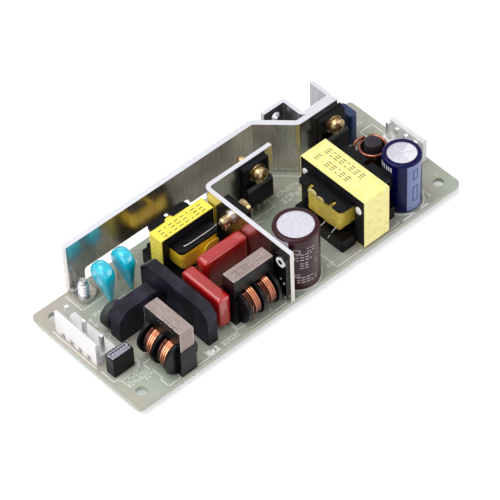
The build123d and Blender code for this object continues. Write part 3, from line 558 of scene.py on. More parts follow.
def makeGroundCore(node, bareEnds):
    # ferrite bar: ground top, a pale painted highlight along its edges, the other sides near black
    finish = Finish(node, tones["ferrite"], 0.42, Specular_IOR_Level=0.18)
    low, high = corners(node)
    reach = (high - low) / 2
    spot = finish.place(centre=(low + high) / 2)
    off = {which: finish.axis(spot, which) for which in "XYZ"}
    along = (0.12, 2.2, 2.2) if high.x - low.x > high.y - low.y else (2.2, 0.12, 2.2)
    lines = finish.noise(finish.place(stretch=along), 1.6, 3.0, 0.6)
    pits = finish.noise(finish.place(), 3.0, 3.0)
    tone = finish.mix(lines.ramp(0.35, 0.7) * 0.8, tones["ferrite"], tones["ferriteGrain"])
    tone = finish.mix(pits.ramp(0.5, 0.72) * 0.5, tone, shade(196, 180, 174))
    nearX, nearY, nearZ = (off[which].size() > side - 0.22 for which, side in zip("XYZ", reach))
    # painted highlight where two edges meet, broken up by the pits
    edgeHighlight = (nearX + nearY + nearZ > 1.5) * pits.ramp(0.3, 0.55)
    tone = finish.mix(edgeHighlight * 0.8, tone, shade(222, 208, 202))
    ground = off["Z"] > reach.z - 0.05
    if bareEnds:
        ground = ground.most(off[bareEnds].size() > reach["XYZ".index(bareEnds)] - 0.05)
    # every face but the ground ones near black
    finish.set("Base Color", finish.mix(ground, shade(17, 15, 17), tone))
    finish.set("Roughness", lines * 0.2 + 0.24 + ground * 0.1)
    finish.bump(lines + pits * 0.5, 0.3, 0.00004)
    return finish


def makeVentedLid(node):
    # aluminium end stamped into three fields, each painted a different tone for the light and shade it
    # catches
    finish = Finish(node, tones["can"], 0.32, Metallic=1.0)
    spot = finish.place(centre=middle(node))
    across = finish.axis(spot, "Y")
    swing = across.reckon("ARCTAN2", across, finish.axis(spot, "X"))
    mottle = finish.noise(finish.place(), 0.9, 3.0)
    # painted shade on two of the three fields
    fields = (swing > 0.35) * 0.55 + (swing < -1.75) * 0.25
    tone = finish.mix(fields, shade(232, 230, 236), shade(178, 174, 192))
    finish.set("Base Color", finish.mix(mottle.ramp(0.4, 0.7) * 0.3, tone, shade(196, 194, 206)))
    finish.set("Roughness", mottle * 0.2 + 0.24)
    finish.bump(mottle, 0.1, 0.00002)
    return finish


ownFinishes = {
    "line_filter_first_core": makeGroundCore("line_filter_first_core", "Y"),
    "line_filter_second_core": makeGroundCore("line_filter_second_core", ""),
    "output_capacitor_can": makeVentedLid("output_capacitor_can"),
    "main_transformer_tape": paleTape,
    # the washers in a darker copy of the brass: painted shade that sets them apart from the screw head
    "spring_washers": makeMetal("darkWasherBrass", shade(128, 106, 66), shade(96, 78, 48), 0.3, 1.2),
    "input_connector_pins": makeMetal("headerPins", shade(238, 238, 236), shade(206, 206, 204), 0.42, 1.5),
}
ownFinishes["output_connector_pins"] = ownFinishes["input_connector_pins"]
for part in frame["record"]["subparts"]:
    name = part["node"]
    skin = nodes[name].data.materials
    skin.clear()
    skin.append(ownFinishes.get(name, finishes[part["material_slot"]]).material)
print("finishes given to the frame's nodes")


# line filter windings: two coils on each bobbin, a full layer and a shorter one over it

filterCoils = {
    "wire": 0.8, "gap": 0.2, "middle": 1.0, "below": 0.1, "drop": 0.42, "second": 0.66, "lining": 0.5,
    "tail": 0.14, "tailAlong": 0.25, "tailAcross": (0.97, 0.8), "tailSpread": 1.12,
    "tailHeights": (2.4, 0.4, -2.6), "tailFoot": 0.3,
}


def makeFilterCoils(name, axis, tailSide):
    node = name + "_windings"
    low, high = corners(node)
    centre = (low + high) / 2
    spare = 1 - axis                       # the other level direction
    wire, gap = filterCoils["wire"], filterCoils["gap"]
    radius = (high[spare] - low[spare]) / 2 - filterCoils["below"]
    width = (high[axis] - low[axis] - filterCoils["middle"]) / 2 - 2 * gap
    turn = Matrix.Rotation(pi / 2, 4, "Y") if axis == 0 else Matrix.Rotation(-pi / 2, 4, "X")
    forms = [bmesh.new(), bmesh.new()]
    tails = []
    for start in (low[axis] + gap, high[axis] - gap - width):
        layers = ((width, filterCoils["drop"]), (width * filterCoils["second"], 0.0))
        for form, (reach, lift) in zip(forms, layers):
            spot = centre.copy()
            spot[axis] = start + width - reach if axis == 0 else start
            place = Matrix.Translation(spot) @ turn
            inner = radius - wire / 2 - lift
            helix(form, inner, wire, int(reach / wire), reach, place, 8, 30)
            if lift:
                lathe(form, hoop(inner - filterCoils["lining"], inner, 0, reach), place)
        # a wire end runs off the coil down to its pin
        side = Vector((0, 0, 0))
        side[spare] = tailSide * radius
        off = Vector((0, 0, 0))
        off[axis] = start + width * filterCoils["tailAlong"] - centre[axis]
        near, far = filterCoils["tailAcross"]
        top = centre + side * near + off
        foot = centre + side * far + off * filterCoils["tailSpread"]
        tails.append([top + Vector((0, 0, lift)) for lift in filterCoils["tailHeights"]]
                     + [Vector((foot.x, foot.y, low.z + filterCoils["tailFoot"]))])
    # the full layer in the darker copper, as painted shade
    makePiece(node + "_coils", forms[0], "copper_wire", shadedUnderWire, [node])
    makePiece(node + "_layer", forms[1], "copper_wire")
    makeWires(node + "_ends", tails, filterCoils["tail"], "copper_wire")


makeFilterCoils("line_filter_first", 1, -1)
makeFilterCoils("line_filter_second", 0, -1)
print("line filter coils wound")


# output choke: thick enamelled wire round a rod

outputCoil = {
    "wire": 1.15, "recess": 3.4, "rodBevel": 0.55, "rodSteps": 48,
    "lead": [(48.9, 0.35, 15.4), (47.2, 1.0, 15.2), (45.6, 1.2, 14.6), (44.4, 0.7, 13.4),
             (43.9, -0.1, 11.6), (43.9, -0.5, 8.0)],
}


def makeOutputCoil():
    low, high = corners("output_choke_winding")
    centre = (low + high) / 2
    radius = (high.x - low.x) / 2
    wire = outputCoil["wire"]
    height = high.z - low.z
    turns = height / wire - 1
    form = bmesh.new()
    place = Matrix.Translation((centre.x, centre.y, low.z))
    helix(form, radius - wire / 2, wire, turns, height, place, 10, 36)
    inner = radius - wire * 0.62
    rod = corners("output_choke_core")
    bore = (rod[1].x - rod[0].x) / 2 + 0.15
    top = height - outputCoil["recess"]
    lathe(form, hoop(bore, inner, 0.3, top), place)
    makePiece("output_choke_coil", form, "copper_wire", chokeWire, ["output_choke_winding"])
    # the wire's upper end leaves the coil at the back and runs down to the board
    makeWires("output_choke_lead", [outputCoil["lead"]], wire / 2 * 0.9, "copper_wire", chokeWire)
    # ground rod with a rounded rim
    low, high = rod
    radius, bevel = (high.x - low.x) / 2, outputCoil["rodBevel"]
    form = bmesh.new()
    outline = [(0, 0), (radius - bevel, 0), (radius, bevel), (radius, high.z - low.z - bevel)]
    for k in range(1, 5):
        lean = k * pi / 8
        outline.append((radius - bevel * (1 - cos(lean)), high.z - low.z - bevel * (1 - sin(lean))))
    outline.append((0, high.z - low.z))
    lathe(form, outline, Matrix.Translation((centre.x, centre.y, low.z)), outputCoil["rodSteps"])
    makePiece("output_choke_rod", form, "dark_ferrite", rodFerrite, ["output_choke_core"], 50)


makeOutputCoil()
print("output choke wound")


# disc capacitors: a thick lens of resin drawn down to a point on its near lead

discs = {
    "voxel": 0.17, "extra": 0.25, "soften": 6, "round": 1.75, "leadPitch": 6.4, "lead": 0.3,
    "tip": 0.42, "shoulder": 1.5, "farTail": 4.6,
}


def makeDiscCapacitor(node):
    low, high = corners(node)
    centre = (low + high) / 2
    radius = (high.y - low.y) / 2 + discs["extra"]
    thick = (high.x - low.x) / 2 + discs["extra"]
    axis = high.z - radius + discs["extra"]
    nearY, farY = (centre.y + side * discs["leadPitch"] / 2 for side in (-1, 1))
    form = bmesh.new()
    bmesh.ops.create_cone(form, cap_ends=True, segments=36, radius1=radius, radius2=radius, depth=2 * thick)
    rims = [edge for edge in form.edges if abs(edge.verts[0].co.z - edge.verts[1].co.z) < 0.01]
    bevelEdges(form, rims, discs["round"], 5)
    turn = Matrix.Translation((centre.x, centre.y, axis)) @ Matrix.Rotation(pi / 2, 4, "Y")
    bmesh.ops.transform(form, matrix=turn, verts=form.verts)
    # the tail: everything from the lens down to a small ring on the lead
    ring = bmesh.ops.create_circle(form, segments=12, radius=discs["tip"])["verts"]
    bmesh.ops.translate(form, vec=(centre.x, nearY, low.z), verts=ring)
    bmesh.ops.convex_hull(form, input=form.verts)
    loose = [vert for vert in form.verts if not vert.link_faces]
    bmesh.ops.delete(form, geom=loose, context="VERTS")
    # short neck on the other lead
    foot = axis - radius - discs["shoulder"] / 2
    lathe(form, [(0, 0), (0.4, 0), (discs["shoulder"] * 0.6, 1.6), (discs["shoulder"], discs["farTail"]),
                 (0, discs["farTail"])], Matrix.Translation((centre.x, farY - 1.0, foot)), 20)
    piece = makePiece(node + "_coating", form, "cyan_coating", standsFor=[node], crease=180)
    melt(piece, discs["voxel"], 0.6, discs["soften"])
    board = corners("circuit_board")[1].z
    return [(centre.x, farY, board), (centre.x, farY, board + 1.2), (centre.x, farY - 0.6, foot - 1.4),
            (centre.x, farY - 1.0, foot + 0.8)]


leadRoutes = [makeDiscCapacitor(name) for name in ("y_capacitor_front", "y_capacitor_rear")]
makeWires("y_capacitor_far_leads", leadRoutes, discs["lead"], "tinned_lead")
print("disc capacitors dipped")


# film capacitors: rounded tablets with resin skirts on their leads

tablets = {"round": 1.35, "voxel": 0.18, "soften": 4, "leadPitch": 15.0, "skirt": 1.05, "base": 0.4}


def makeTablet(node, along):
    low, high = corners(node)
    centre = (low + high) / 2
    form = bmesh.new()
    slab(form, (low.x, low.y, low.z + tablets["base"]), high, tablets["round"], 4)
    for side in (-1, 1):
        foot = centre.copy()
        foot[along] += side * tablets["leadPitch"] / 2
        foot.z = low.z
        lathe(form, [(0, 0), (0.45, 0), (tablets["skirt"], 1.5), (tablets["skirt"], 3.0), (0, 3.0)],
              Matrix.Translation(foot), 20)
    piece = makePiece(node + "_coating", form, "red_coating", standsFor=[node], crease=180)
    melt(piece, tablets["voxel"], 0.6, tablets["soften"])


makeTablet("film_capacitor_side", 1)
makeTablet("film_capacitor_rear", 0)
print("film capacitors dipped")


# places on the board, in millimetres from its front left corner

boardLow, boardHigh = corners("circuit_board")


def at(x, y, z=0.0):
    return Vector((boardLow.x + x, boardLow.y + y, z))


def strip(form, start, end, width, thick):
    # flat bar printed between two places, lying on the height of the first
    run = end - start
    made = bmesh.ops.create_cube(form, size=1.0)["verts"]
    bmesh.ops.scale(form, vec=(run.length + width, width, thick), verts=made)
    bmesh.ops.rotate(form, cent=(0, 0, 0), matrix=Matrix.Rotation(atan2(run.y, run.x), 3, "Z"), verts=made)
    bmesh.ops.translate(form, vec=(start + end) / 2 + Vector((0, 0, thick / 2)), verts=made)


def wrapPatch(form, centre, radius, start, end, low, high, thick=0.05):
    # thin patch on a round sleeve, between two angles in degrees
    before = set(form.verts)
    made = [form.verts.new((radius + out, 0, height)) for out, height in
            ((0, low), (thick, low), (thick, high), (0, high))]
    edges = [form.edges.new(pair) for pair in zip(made, made[1:] + made[:1])]
    bmesh.ops.rotate(form, cent=(0, 0, 0), matrix=Matrix.Rotation(radians(start), 3, "Z"), verts=made)
    steps = max(1, int((end - start) / 5))
    spun = bmesh.ops.spin(form, geom=made + edges, cent=(0, 0, 0), axis=(0, 0, 1),
                          angle=radians(end - start), steps=steps)
    capEnds(form, edges, spun)
    bmesh.ops.translate(form, vec=(centre.x, centre.y, 0), verts=facesOut(form, before))


# white print on the board: outlines of the parts and rows of plain strokes

boardPrint = {
    "line": 0.26, "thick": 0.03, "stroke": 0.22, "strong": 1.1,    # taller marks than this get a wider stroke
    "outlines": [
        [(12.0, 4.6), (12.0, 0.8), (33.0, 0.8)], [(12.8, 4.4), (12.8, 8.8)],
        [(12.1, 9.8), (12.1, 12.5), (15.0, 12.5)], [(28.2, 0.8), (28.2, 3.6)],
        [(22.4, 0.8), (22.4, 2.4)], [(17.0, 0.8), (17.0, 2.2)],
        [(1.3, 18.6), (1.3, 13.0), (10.4, 13.0), (11.4, 14.0), (11.4, 16.2), (13.0, 18.0)],
        [(2.4, 12.2), (10.0, 12.2), (12.0, 13.6), (12.0, 15.4)], [(0.9, 20.6), (0.9, 40.6)],
        [(10.5, 21.0), (10.5, 40.4)], [(11.3, 24.6), (11.3, 31.2)],
        [(12.6, 48.6), (12.6, 40.9), (20.9, 40.9)], [(22.2, 39.4), (22.2, 45.6), (25.4, 45.6)],
        [(24.0, 34.6), (33.4, 34.6)], [(44.6, 0.9), (53.6, 0.9), (53.6, 3.2)],
        [(54.2, 0.9), (59.0, 0.9)], [(41.5, 14.2), (41.5, 3.0), (44.2, 3.0)],
        [(34.0, 2.6), (36.2, 2.6), (40.9, 2.6), (40.9, 5.4)], [(89.4, 45.0), (98.0, 36.4)],
        [(73.6, 32.7), (83.5, 32.7), (83.5, 37.0)], [(79.5, 32.7), (79.5, 31.6)],
        [(79.9, 8.8), (79.9, 0.9), (90.2, 0.9)], [(102.4, 0.9), (106.2, 0.9), (106.2, 2.2)],
        [(122.2, 13.6), (122.2, 30.2)],
        [(124.6, 31.4), (129.8, 31.4), (129.8, 37.6), (124.6, 37.6), (124.6, 31.4)],
        [(116.8, 33.4), (122.8, 33.4), (122.8, 43.4)], [(104.4, 31.8), (116.4, 31.8)]],
    "bars": [((108.0, 0.75), (118.0, 0.75), 0.7), ((29.6, 2.0), (31.4, 2.0), 2.3)],
    "rings": [
        ((69.7, 7.8), 7.45, 7.75), ((113.85, 7.9), 6.75, 7.2), ((11.8, 28.2), 0.55, 0.8),
        ((11.9, 20.6), 0.5, 0.72)],
    "eyelet": ((30.5, 2.0), 0.5, 1.05),
    # rows of plain level strokes: first place, direction, how many, size of each
    "dashes": [
        ((3.0, 10.4), (1.15, 0), 6, (0.85, 1.2)), ((3.4, 8.4), (1.15, 0), 5, (0.85, 1.2)),
        ((9.4, 9.4), (1.1, 0), 2, (0.8, 1.1)), ((9.0, 7.4), (1.1, 0), 4, (0.8, 1.2)),
        ((11.4, 33.0), (0, 1.15), 4, (1.1, 0.85)), ((10.9, 25.4), (0, 1.1), 4, (0.5, 0.8)),
        ((34.6, 36.0), (1.1, 0), 4, (0.8, 1.1)), ((37.0, 44.4), (0, 1.1), 4, (1.0, 0.8)),
        ((96.4, 31.0), (1.2, 0), 3, (0.8, 1.0)), ((78.0, 2.6), (1.0, 0), 3, (0.7, 0.9)),
        ((34.4, 1.2), (1.1, 0), 6, (0.7, 0.8)), ((14.0, 36.6), (0.9, 0), 6, (0.6, 0.9)),
        ((23.6, 36.4), (0.9, 0), 3, (0.6, 0.8)), ((86.8, 34.9), (1.1, 0), 8, (0.8, 1.1)),
        ((86.4, 31.4), (1.8, 0), 5, (1.3, 1.7)), ((72.6, 30.5), (1.1, 0), 4, (0.7, 0.9)),
        ((79.8, 12.6), (0, 1.2), 4, (0.7, 0.8)), ((97.8, 1.0), (1.1, 0), 3, (0.7, 0.7)),
        ((120.8, 2.6), (0, 1.1), 5, (0.7, 0.7)), ((124.2, 40.2), (1.1, 0), 4, (0.7, 0.8)),
        ((62.6, 16.8), (1.1, 0), 4, (0.7, 0.8))],
    "levels": ((0.0, 0.5, 1.0), (0.0, 1.0), (0.5, 1.0), (0.0, 0.5)),    # where a mark has its strokes
}


def makeBoardPrint():
    form = bmesh.new()
    top, thick = boardHigh.z, boardPrint["thick"]
    for outline in boardPrint["outlines"]:
        for start, end in zip(outline, outline[1:]):
            strip(form, at(*start, top), at(*end, top), boardPrint["line"], thick)
    for start, end, width in boardPrint["bars"]:
        strip(form, at(*start, top), at(*end, top), width, thick)
    for centre, inner, outer in boardPrint["rings"]:
        lathe(form, hoop(inner, outer, 0, thick), Matrix.Translation(at(*centre, top)), 48)
    for (firstX, firstY), (stepX, stepY), count, (width, height) in boardPrint["dashes"]:
        stroke = boardPrint["stroke"] * max(1.0, height / boardPrint["strong"])
        for k in range(count):
            x = firstX + k * stepX
            for share in boardPrint["levels"][k % 4]:
                y = firstY + k * stepY + height * share
                strip(form, at(x, y, top), at(x + width - stroke, y, top), stroke, thick)
    makePiece("board_print", form, "board", whiteInk)
    # a tinned eyelet in the printed block
    centre, inner, outer = boardPrint["eyelet"]
    form = bmesh.new()
    lathe(form, [(inner, 0), (outer, 0), (outer - 0.1, 0.25), (inner + 0.15, 0.3), (inner, 0)],
          Matrix.Translation(at(*centre, top + thick)), 24)
    makePiece("board_eyelet", form, "board", finishes["tinned_lead"])


makeBoardPrint()
print("board printed")


# fuse: a printed frame on its top

fusePrint = {"inset": 0.45, "line": 0.3, "thick": 0.03, "dashes": 7}


def makeFusePrint():
    low, high = corners("fuse")
    inset, line, thick = (fusePrint[key] for key in ("inset", "line", "thick"))
    form = bmesh.new()
    left, right, front, back = low.x + inset, high.x - inset, low.y + inset, high.y - inset
    middleY = (front + back) / 2
    upper, lower = middleY + line, middleY - line
    for x, y, toX, toY in ((left, back, right, back), (right, back, right, upper), (left, back, left, upper),
                           (left, upper, right, upper), (left, lower, right, lower)):
        strip(form, Vector((x, y, high.z)), Vector((toX, toY, high.z)), line, thick)
    pitch = (right - left) / fusePrint["dashes"]
    for k in range(fusePrint["dashes"]):
        x = left + (k + 0.5) * pitch
        for y, reach in ((back - 0.75, 0.15), (middleY - 0.85, 0.225)):
            strip(form, Vector((x - reach, y, high.z)), Vector((x + reach, y, high.z)), 0.34, thick)
    makePiece("fuse_print", form, "black_mould", fuseInk)


makeFusePrint()
print("fuse printed")


# electrolytic capacitors: polarity stripes, printed bands and marks round the sleeves

bulkPrint = {
    "radius": 7.25, "stripe": (152, 209), "stripeHeights": (2.6, 21.8), "bend": 1.2, "bars": 9, "stroke": 0.3,
    # height of each row of marks, first angle, then widths in degrees
    "rows": [(17.6, 1.6, 254, (4, 4, 6)), (14.4, 2.6, 226, (7, 10, 10, 5)), (10.8, 2.4, 236, (9, 9)),
             (11.6, 1.4, 276, (4,)), (7.2, 1.2, 222, (14,)), (4.6, 2.4, 228, (7, 10, 10, 5)),
             (4.9, 1.2, 276, (4,))],
    "badge": (219, 237, 17.4, 1.7),
}
outputPrint = {
    "radius": 6.25, "stripe": (241, 293), "stripeHeights": (2.2, 21.3),
    "frames": [(258, 276, 15.2, 19.4), (258, 276, 5.8, 12.4)], "line": 0.35,
    "ticks": (150, 158, 166, 176, 184, 192, 300, 308, 318, 326, 336), "tick": 4, "tickHeights": (18.6, 20.4),
}


def markRow(form, centre, radius, height, tall, angle, widths):
    # plain marks in a row, each a few level strokes one above the other
    line = bulkPrint["stroke"]
    for width in widths:
        count = 3 if width > 6 and tall > 2 else 2
        for k in range(count):
            foot = height + (tall - line) * k / (count - 1)
            wrapPatch(form, centre, radius, angle, angle + width, foot, foot + line)
        angle += width + 3


def patchFrame(form, centre, radius, start, end, low, high, line):
    turn = line / radius * 180 / pi
    wrapPatch(form, centre, radius, start, end, low, low + line)
    wrapPatch(form, centre, radius, start, end, high - line, high)
    wrapPatch(form, centre, radius, start, start + turn, low + line, high - line)
    wrapPatch(form, centre, radius, end - turn, end, low + line, high - line)


def printCapacitors():
    centre = middle("bulk_capacitor_sleeve")
    radius = bulkPrint["radius"]
    form = bmesh.new()
    low, high = bulkPrint["stripeHeights"]
    wrapPatch(form, centre, radius, *bulkPrint["stripe"], low, high)
    # the stripe follows the sleeve over its rounded shoulder
    bend, sleeveTop = bulkPrint["bend"], corners("bulk_capacitor_sleeve")[1].z
    for k in range(5):
        lean, ahead = radians(14 * k), radians(14 * (k + 1))
        wrapPatch(form, centre, radius - bend * (1 - cos((lean + ahead) / 2)), *bulkPrint["stripe"],
                  sleeveTop - bend * (1 - sin(lean)), sleeveTop - bend * (1 - sin(ahead)))
    makePiece("bulk_capacitor_stripe", form, "maroon_sleeve", paleStripe)
    form = bmesh.new()
    for row in bulkPrint["rows"]:
        markRow(form, centre, radius, *row)
    start, end, foot, tall = bulkPrint["badge"]
    patchFrame(form, centre, radius, start, end, foot, foot + tall, 0.22)
    makePiece("bulk_capacitor_marks", form, "maroon_sleeve", sleeveInk)
    form = bmesh.new()
    start, end = bulkPrint["stripe"]
    step = (high - low) / bulkPrint["bars"]
    for k in range(bulkPrint["bars"]):
        foot = low + (k + 0.35) * step
        wrapPatch(form, centre, radius + 0.05, start + 14, end - 14, foot, foot + 0.3)
    makePiece("bulk_capacitor_stripe_bars", form, "maroon_sleeve", greyInk)
    centre = middle("output_capacitor_sleeve")
    radius = outputPrint["radius"]
    form = bmesh.new()
    wrapPatch(form, centre, radius, *outputPrint["stripe"], *outputPrint["stripeHeights"])
    makePiece("output_capacitor_stripe", form, "blue_sleeve", blueStripe)
    form = bmesh.new()
    for start, end, low, high in outputPrint["frames"]:
        patchFrame(form, centre, radius + 0.05, start, end, low, high, outputPrint["line"])
    makePiece("output_capacitor_frames", form, "blue_sleeve", darkBlueInk)
    form = bmesh.new()
    for start in outputPrint["ticks"]:
        wrapPatch(form, centre, radius, start, start + outputPrint["tick"], *outputPrint["tickHeights"])
    makePiece("output_capacitor_ticks", form, "blue_sleeve", whiteInk)


paleStripe = makeMoulded("paleStripe", shade(208, 206, 220), shade(188, 184, 204), 0.32, 1.0, 0.1)
sleeveInk = makeMoulded("sleeveInk", shade(196, 180, 184), shade(160, 140, 146), 0.5, 2.0, 0.1)
greyInk = makeMoulded("greyInk", shade(150, 146, 166), shade(132, 128, 150), 0.5, 2.0, 0.1)
blueStripe = makeMoulded("blueStripe", shade(110, 124, 166), shade(94, 108, 152), 0.3, 1.0, 0.1)
darkBlueInk = makeMoulded("darkBlueInk", shade(46, 56, 120), shade(38, 46, 104), 0.5, 2.0, 0.1)
printCapacitors()
print("capacitor sleeves printed")


# transformer windings: wrapped in tape that bulges and creases

wraps = {"round": 1.5, "voxel": 0.3, "crease": 0.34, "scale": 2.6, "film": 0.12}


def makeWinding(node, finish, extra=None):
    low, high = corners(node)
    form = bmesh.new()
    slab(form, low, high, wraps["round"], 4)
    if extra:
        slab(form, *extra, wraps["round"] * 0.7, 3)
    piece = makePiece(node + "_wrap", form, "taped_winding", finish, [node], 180)
    clouds = bpy.data.textures.new(node, "CLOUDS")
    clouds.noise_scale = wraps["scale"] * mm
    melt(piece, wraps["voxel"], 0.5, 3, ("DISPLACE", {
        "texture": clouds, "strength": wraps["crease"] * mm, "mid_level": 0.6, "texture_coords": "LOCAL"}))


smallLow = corners("small_transformer_winding")[0]
makeWinding("small_transformer_winding", finishes["taped_winding"],
            (smallLow + Vector((1.2, 0.3, -3.4)), smallLow + Vector((9.0, 6.0, 2.0))))
makeWinding("main_transformer_winding", paleWinding)


brightTape = makeTape("brightTape", shade(250, 214, 60), shade(232, 180, 36), 0.5)
creamTape = makeTape("creamTape", shade(238, 226, 150), shade(226, 206, 104), 0.5)


def makeFlap(name, width, along, finish, spine):
    # torn end of tape: a narrow sheet following a curved spine
    form = bmesh.new()
    half = Vector(along).normalized() * width / 2
    pairs = [(form.verts.new(point - half), form.verts.new(point + half * taper))
             for point, taper in ((at(*place), taper) for *place, taper in spine)]
    for (a, b), (c, d) in zip(pairs, pairs[1:]):
        form.faces.new((a, b, d, c))
    settle(makePiece(name, form, "taped_winding", finish, (), 60),
           ("SUBSURF", {"levels": 2, "render_levels": 2}),
           ("SOLIDIFY", {"thickness": wraps["film"] * mm, "offset": 0.0}))


# name, width, direction across, finish, then places on the board and the far half's share of the width
flaps = [
    ("main_winding_flap_left", 4.2, (0, 1, 0), creamTape,
     [(86.5, 17.4, 15.6, 1.0), (85.2, 17.2, 17.0, 1.0), (84.7, 17.0, 18.6, 0.9), (84.6, 16.8, 20.4, 0.4)]),
    ("main_winding_flap_right", 3.0, (0, 1, 0), creamTape,
     [(86.5, 13.4, 15.6, 1.0), (85.2, 13.3, 17.0, 1.0), (84.7, 13.2, 18.4, 0.9), (84.6, 13.1, 19.6, 0.8)]),
    ("small_winding_flap", 6.6, (1, 0, 0), brightTape,
     [(51.0, 28.2, 5.0, 1.0), (51.6, 27.2, 8.4, 1.0), (52.4, 26.7, 11.4, 0.9), (53.4, 26.8, 13.6, 0.75)]),
]
for flap in flaps:
    makeFlap(*flap)
print("transformer windings wrapped")


# main transformer: glue dots on the core, thin wires below the winding

gluing = {"places": [(26.5, 16.0), (3.0, 16.6)], "radius": 1.3, "height": 0.55, "wire": 0.14}


def makeGlueDots():
    face = corners("main_transformer_core")[0].x
    form = bmesh.new()
    for y, z in gluing["places"]:
        dot = bmesh.ops.create_uvsphere(form, u_segments=24, v_segments=16, radius=1.0)["verts"]
        radius = gluing["radius"]
        bmesh.ops.scale(form, vec=(gluing["height"], radius, radius * 1.12), verts=dot)
        bmesh.ops.translate(form, vec=(face, boardLow.y + y, z), verts=dot)
    makePiece("main_transformer_glue", form, "white_nylon", glue)


glue = makeGlossy("whiteGlue", shade(236, 234, 232), shade(214, 210, 206), 0.3, 0.2)
makeGlueDots()
makeWires("main_transformer_wires", [
    [at(86.7, 8.4, 8.6), at(85.6, 9.0, 6.9), at(84.8, 9.7, 4.9), at(84.7, 10.0, 3.9)],
    [at(86.6, 13.2, 7.4), at(85.6, 13.4, 6.7), at(84.8, 13.7, 6.1), at(84.7, 14.0, 5.3)]],
    gluing["wire"], "tinned_lead", glue)
print("main transformer glued and wired")


# small transformer: a bright wire along the flange as a painted highlight, tape end behind

flangeGlint = {"wire": 0.16, "y": 29.5, "x": (44.4, 57.6)}


def makeFlangeGlint():
    top = corners("small_transformer_bobbin")[1].z
    left, right = flangeGlint["x"]
    y, wire = flangeGlint["y"], flangeGlint["wire"]
    # a thin bright wire laid on the flange's rim: painted highlight
    route = [at(left, y + 0.5, top + wire), at(left + 0.4, y, top + wire * 2),
             at((left + right) / 2, y, top + wire * 2.4), at(right - 0.4, y, top + wire * 2),
             at(right, y + 0.8, top + wire)]
    makeWires("small_transformer_flange_glint", [route], wire, "tinned_lead")


makeFlangeGlint()
form = bmesh.new()
slab(form, at(46.6, 38.8, 14.3), at(49.4, 41.6, 16.2), 0.5, 3)
makePiece("small_transformer_tape_end", form, "yellow_tape")
print("small transformer dressed")


# thread ridges on the screws' free ends

# dark: painted shade for the thread grooves
threads = {"radius": 1.5, "pitch": 1.15, "depth": 0.32, "groove": 0.13, "dark": shade(70, 66, 62)}


def threadRings(form, radius, start, length, turn):
    # ridges along z from the start, then turned and placed
    pitch, depth = threads["pitch"], threads["depth"]
    outline = [(radius * 0.6, 0)]
    for k in range(int(length / pitch)):
        outline += [(radius + rise, (k + share) * pitch)
                    for rise, share in ((-0.02, 0.1), (depth, 0.5), (-0.02, 0.9))]
    outline += [(radius * 0.6, int(length / pitch) * pitch), (radius * 0.6, 0)]
    lathe(form, outline, Matrix.Translation(start) @ turn, 24)


def makeRidged(name, colour, axis, start):
    # screw thread: crests in the screw's colour, painted shade in the grooves between
    finish = Finish(name, colour, 0.3, Metallic=0.9)
    along = finish.axis(finish.place(), axis) - start
    groove = along.wrap(threads["pitch"] / 2) < threads["groove"]
    finish.set("Base Color", finish.mix(groove, colour, threads["dark"]))
    return finish


def makeThreads():
    low, high = corners("ground_screw")
    upright = Vector(((low.x + high.x) / 2, (low.y + high.y) / 2, boardHigh.z + 1.0))
    zinc = shade(240, 240, 242)
    for node, slotName, colour, axis, start, length, turn in (
            ("ground_screw", "zinc_screw", zinc, "Z", upright, high.z - boardHigh.z - 1.6,
             Matrix.Identity(4)),
            ("rear_device_screw", "yellow_screw", tones["brass"], "Y", at(78.5, 39.2, 17.0), 3.5,
             Matrix.Rotation(-pi / 2, 4, "X")),
            ("side_device_screw", "yellow_screw", tones["brass"], "X", at(59.0, 26.5, 17.0), 2.3,
             Matrix.Rotation(-pi / 2, 4, "Y"))):
        form = bmesh.new()
        threadRings(form, threads["radius"], start, length, turn)
        name = node + "_threads"
        makePiece(name, form, slotName, makeRidged(name, colour, axis, start["XYZ".index(axis)]))


makeThreads()
print("threads cut")


# plain marks on the transformers' tape and the filter cores: level strokes in rows, no lettering

markings = {
    "line": 0.3, "thick": 0.03,
    # first corner, direction along the row, width and height of a mark, gap, order of wide and narrow marks
    "tape": [("main_transformer_tape", (97.2, 24.6), (0, -1), (1.4, 2.1), 0.85, "wnwwnwww"),
             ("main_transformer_tape", (93.3, 25.2), (0, -1), (1.4, 2.1), 0.85, "w wwnww"),
             ("small_transformer_tape", (40.6, 34.5), (1, 0), (1.5, 3.0), 0.85, "wnwwwnww")],
    "core": [("line_filter_first_core", (18.5, 2.9), (0, 1), (0.9, 2.0), 0.5, "nwnwwn", 0.22),
             ("line_filter_first_core", (18.9, 12.4), (0, 1), (0.5, 1.5), 0.35, "nnnn", 0.16),
             ("line_filter_second_core", (44.4, 6.6), (1, 0), (0.9, 2.0), 0.5, "nwnwwn", 0.22),
             ("line_filter_second_core", (53.0, 7.0), (1, 0), (0.5, 1.5), 0.35, "nnnn", 0.16)],
}


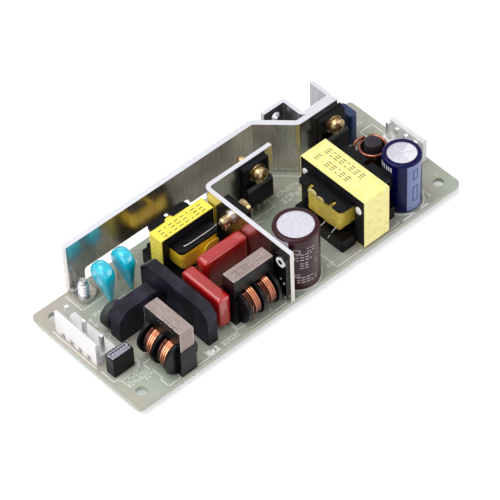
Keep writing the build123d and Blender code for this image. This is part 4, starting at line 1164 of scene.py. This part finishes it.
def markFlat(form, node, corner, along, size, gap, order, line=markings["line"]):
    # along runs with the row, up across it, to its left
    top = corners(node)[1].z
    along = Vector((*along, 0))
    up = Vector((-along.y, along.x, 0))
    spot = at(*corner, top)
    width, height = size
    for kind in order:
        wide, count = (width * 0.6, 2) if kind == "n" else (width, 3)
        if kind != " ":
            for k in range(count):
                start = spot + along * line / 2 + up * (line / 2 + (height - line) * k / (count - 1))
                strip(form, start, start + along * (wide - line), line, markings["thick"])
        spot = spot + along * (wide + gap)


tapeInk = makeMoulded("tapeInk", shade(74, 68, 48), shade(110, 100, 66), 0.5, 2.0, 0.1)
coreInk = makeMoulded("coreInk", shade(60, 52, 52), shade(96, 84, 82), 0.5, 3.0, 0.1)
form = bmesh.new()
for row in markings["tape"]:
    markFlat(form, *row)
makePiece("transformer_tape_marks", form, "yellow_tape", tapeInk)
form = bmesh.new()
for row in markings["core"]:
    markFlat(form, *row)
makePiece("filter_core_marks", form, "filter_ferrite", coreInk)


# bridge: bright ring round its screw with a black disc painted in as the shade of its recess, two small marks
# below

bridgeFace = {"centre": (2.6, 18.6), "ring": (0.95, 1.75), "recess": 0.75, "marks": [(2.9, 11.0), (1.5, 9.8)],
              "mark": 0.7, "proud": 0.12}


def makeBridgeFace():
    low, high = corners("bridge_screw")
    y, z = bridgeFace["centre"]
    spot = Vector((low.x + 0.05, boardLow.y + y, z))
    turn = Matrix.Translation(spot) @ Matrix.Rotation(-pi / 2, 4, "Y")
    inner, outer = bridgeFace["ring"]
    proud = bridgeFace["proud"]
    form = bmesh.new()
    lathe(form, hoop(inner, outer, 0, proud), turn, 32)
    face = corners("bridge_rectifier")[0].x
    reach = bridgeFace["mark"] / 2
    for y, z in bridgeFace["marks"]:
        slab(form, Vector((face - 0.04, boardLow.y + y - reach, z - reach)),
             Vector((face + 0.02, boardLow.y + y + reach, z + reach)))
    makePiece("bridge_face_marks", form, "black_mould", whiteInk)
    form = bmesh.new()
    # a thin black disc standing proud: painted shade for the screw's recess
    recess = bridgeFace["recess"]
    lathe(form, [(0, 0), (recess, 0), (recess, proud), (0, proud)], turn, 24)
    makePiece("bridge_screw_recess_shade", form, "black_mould")


makeBridgeFace()
print("generic marks placed")
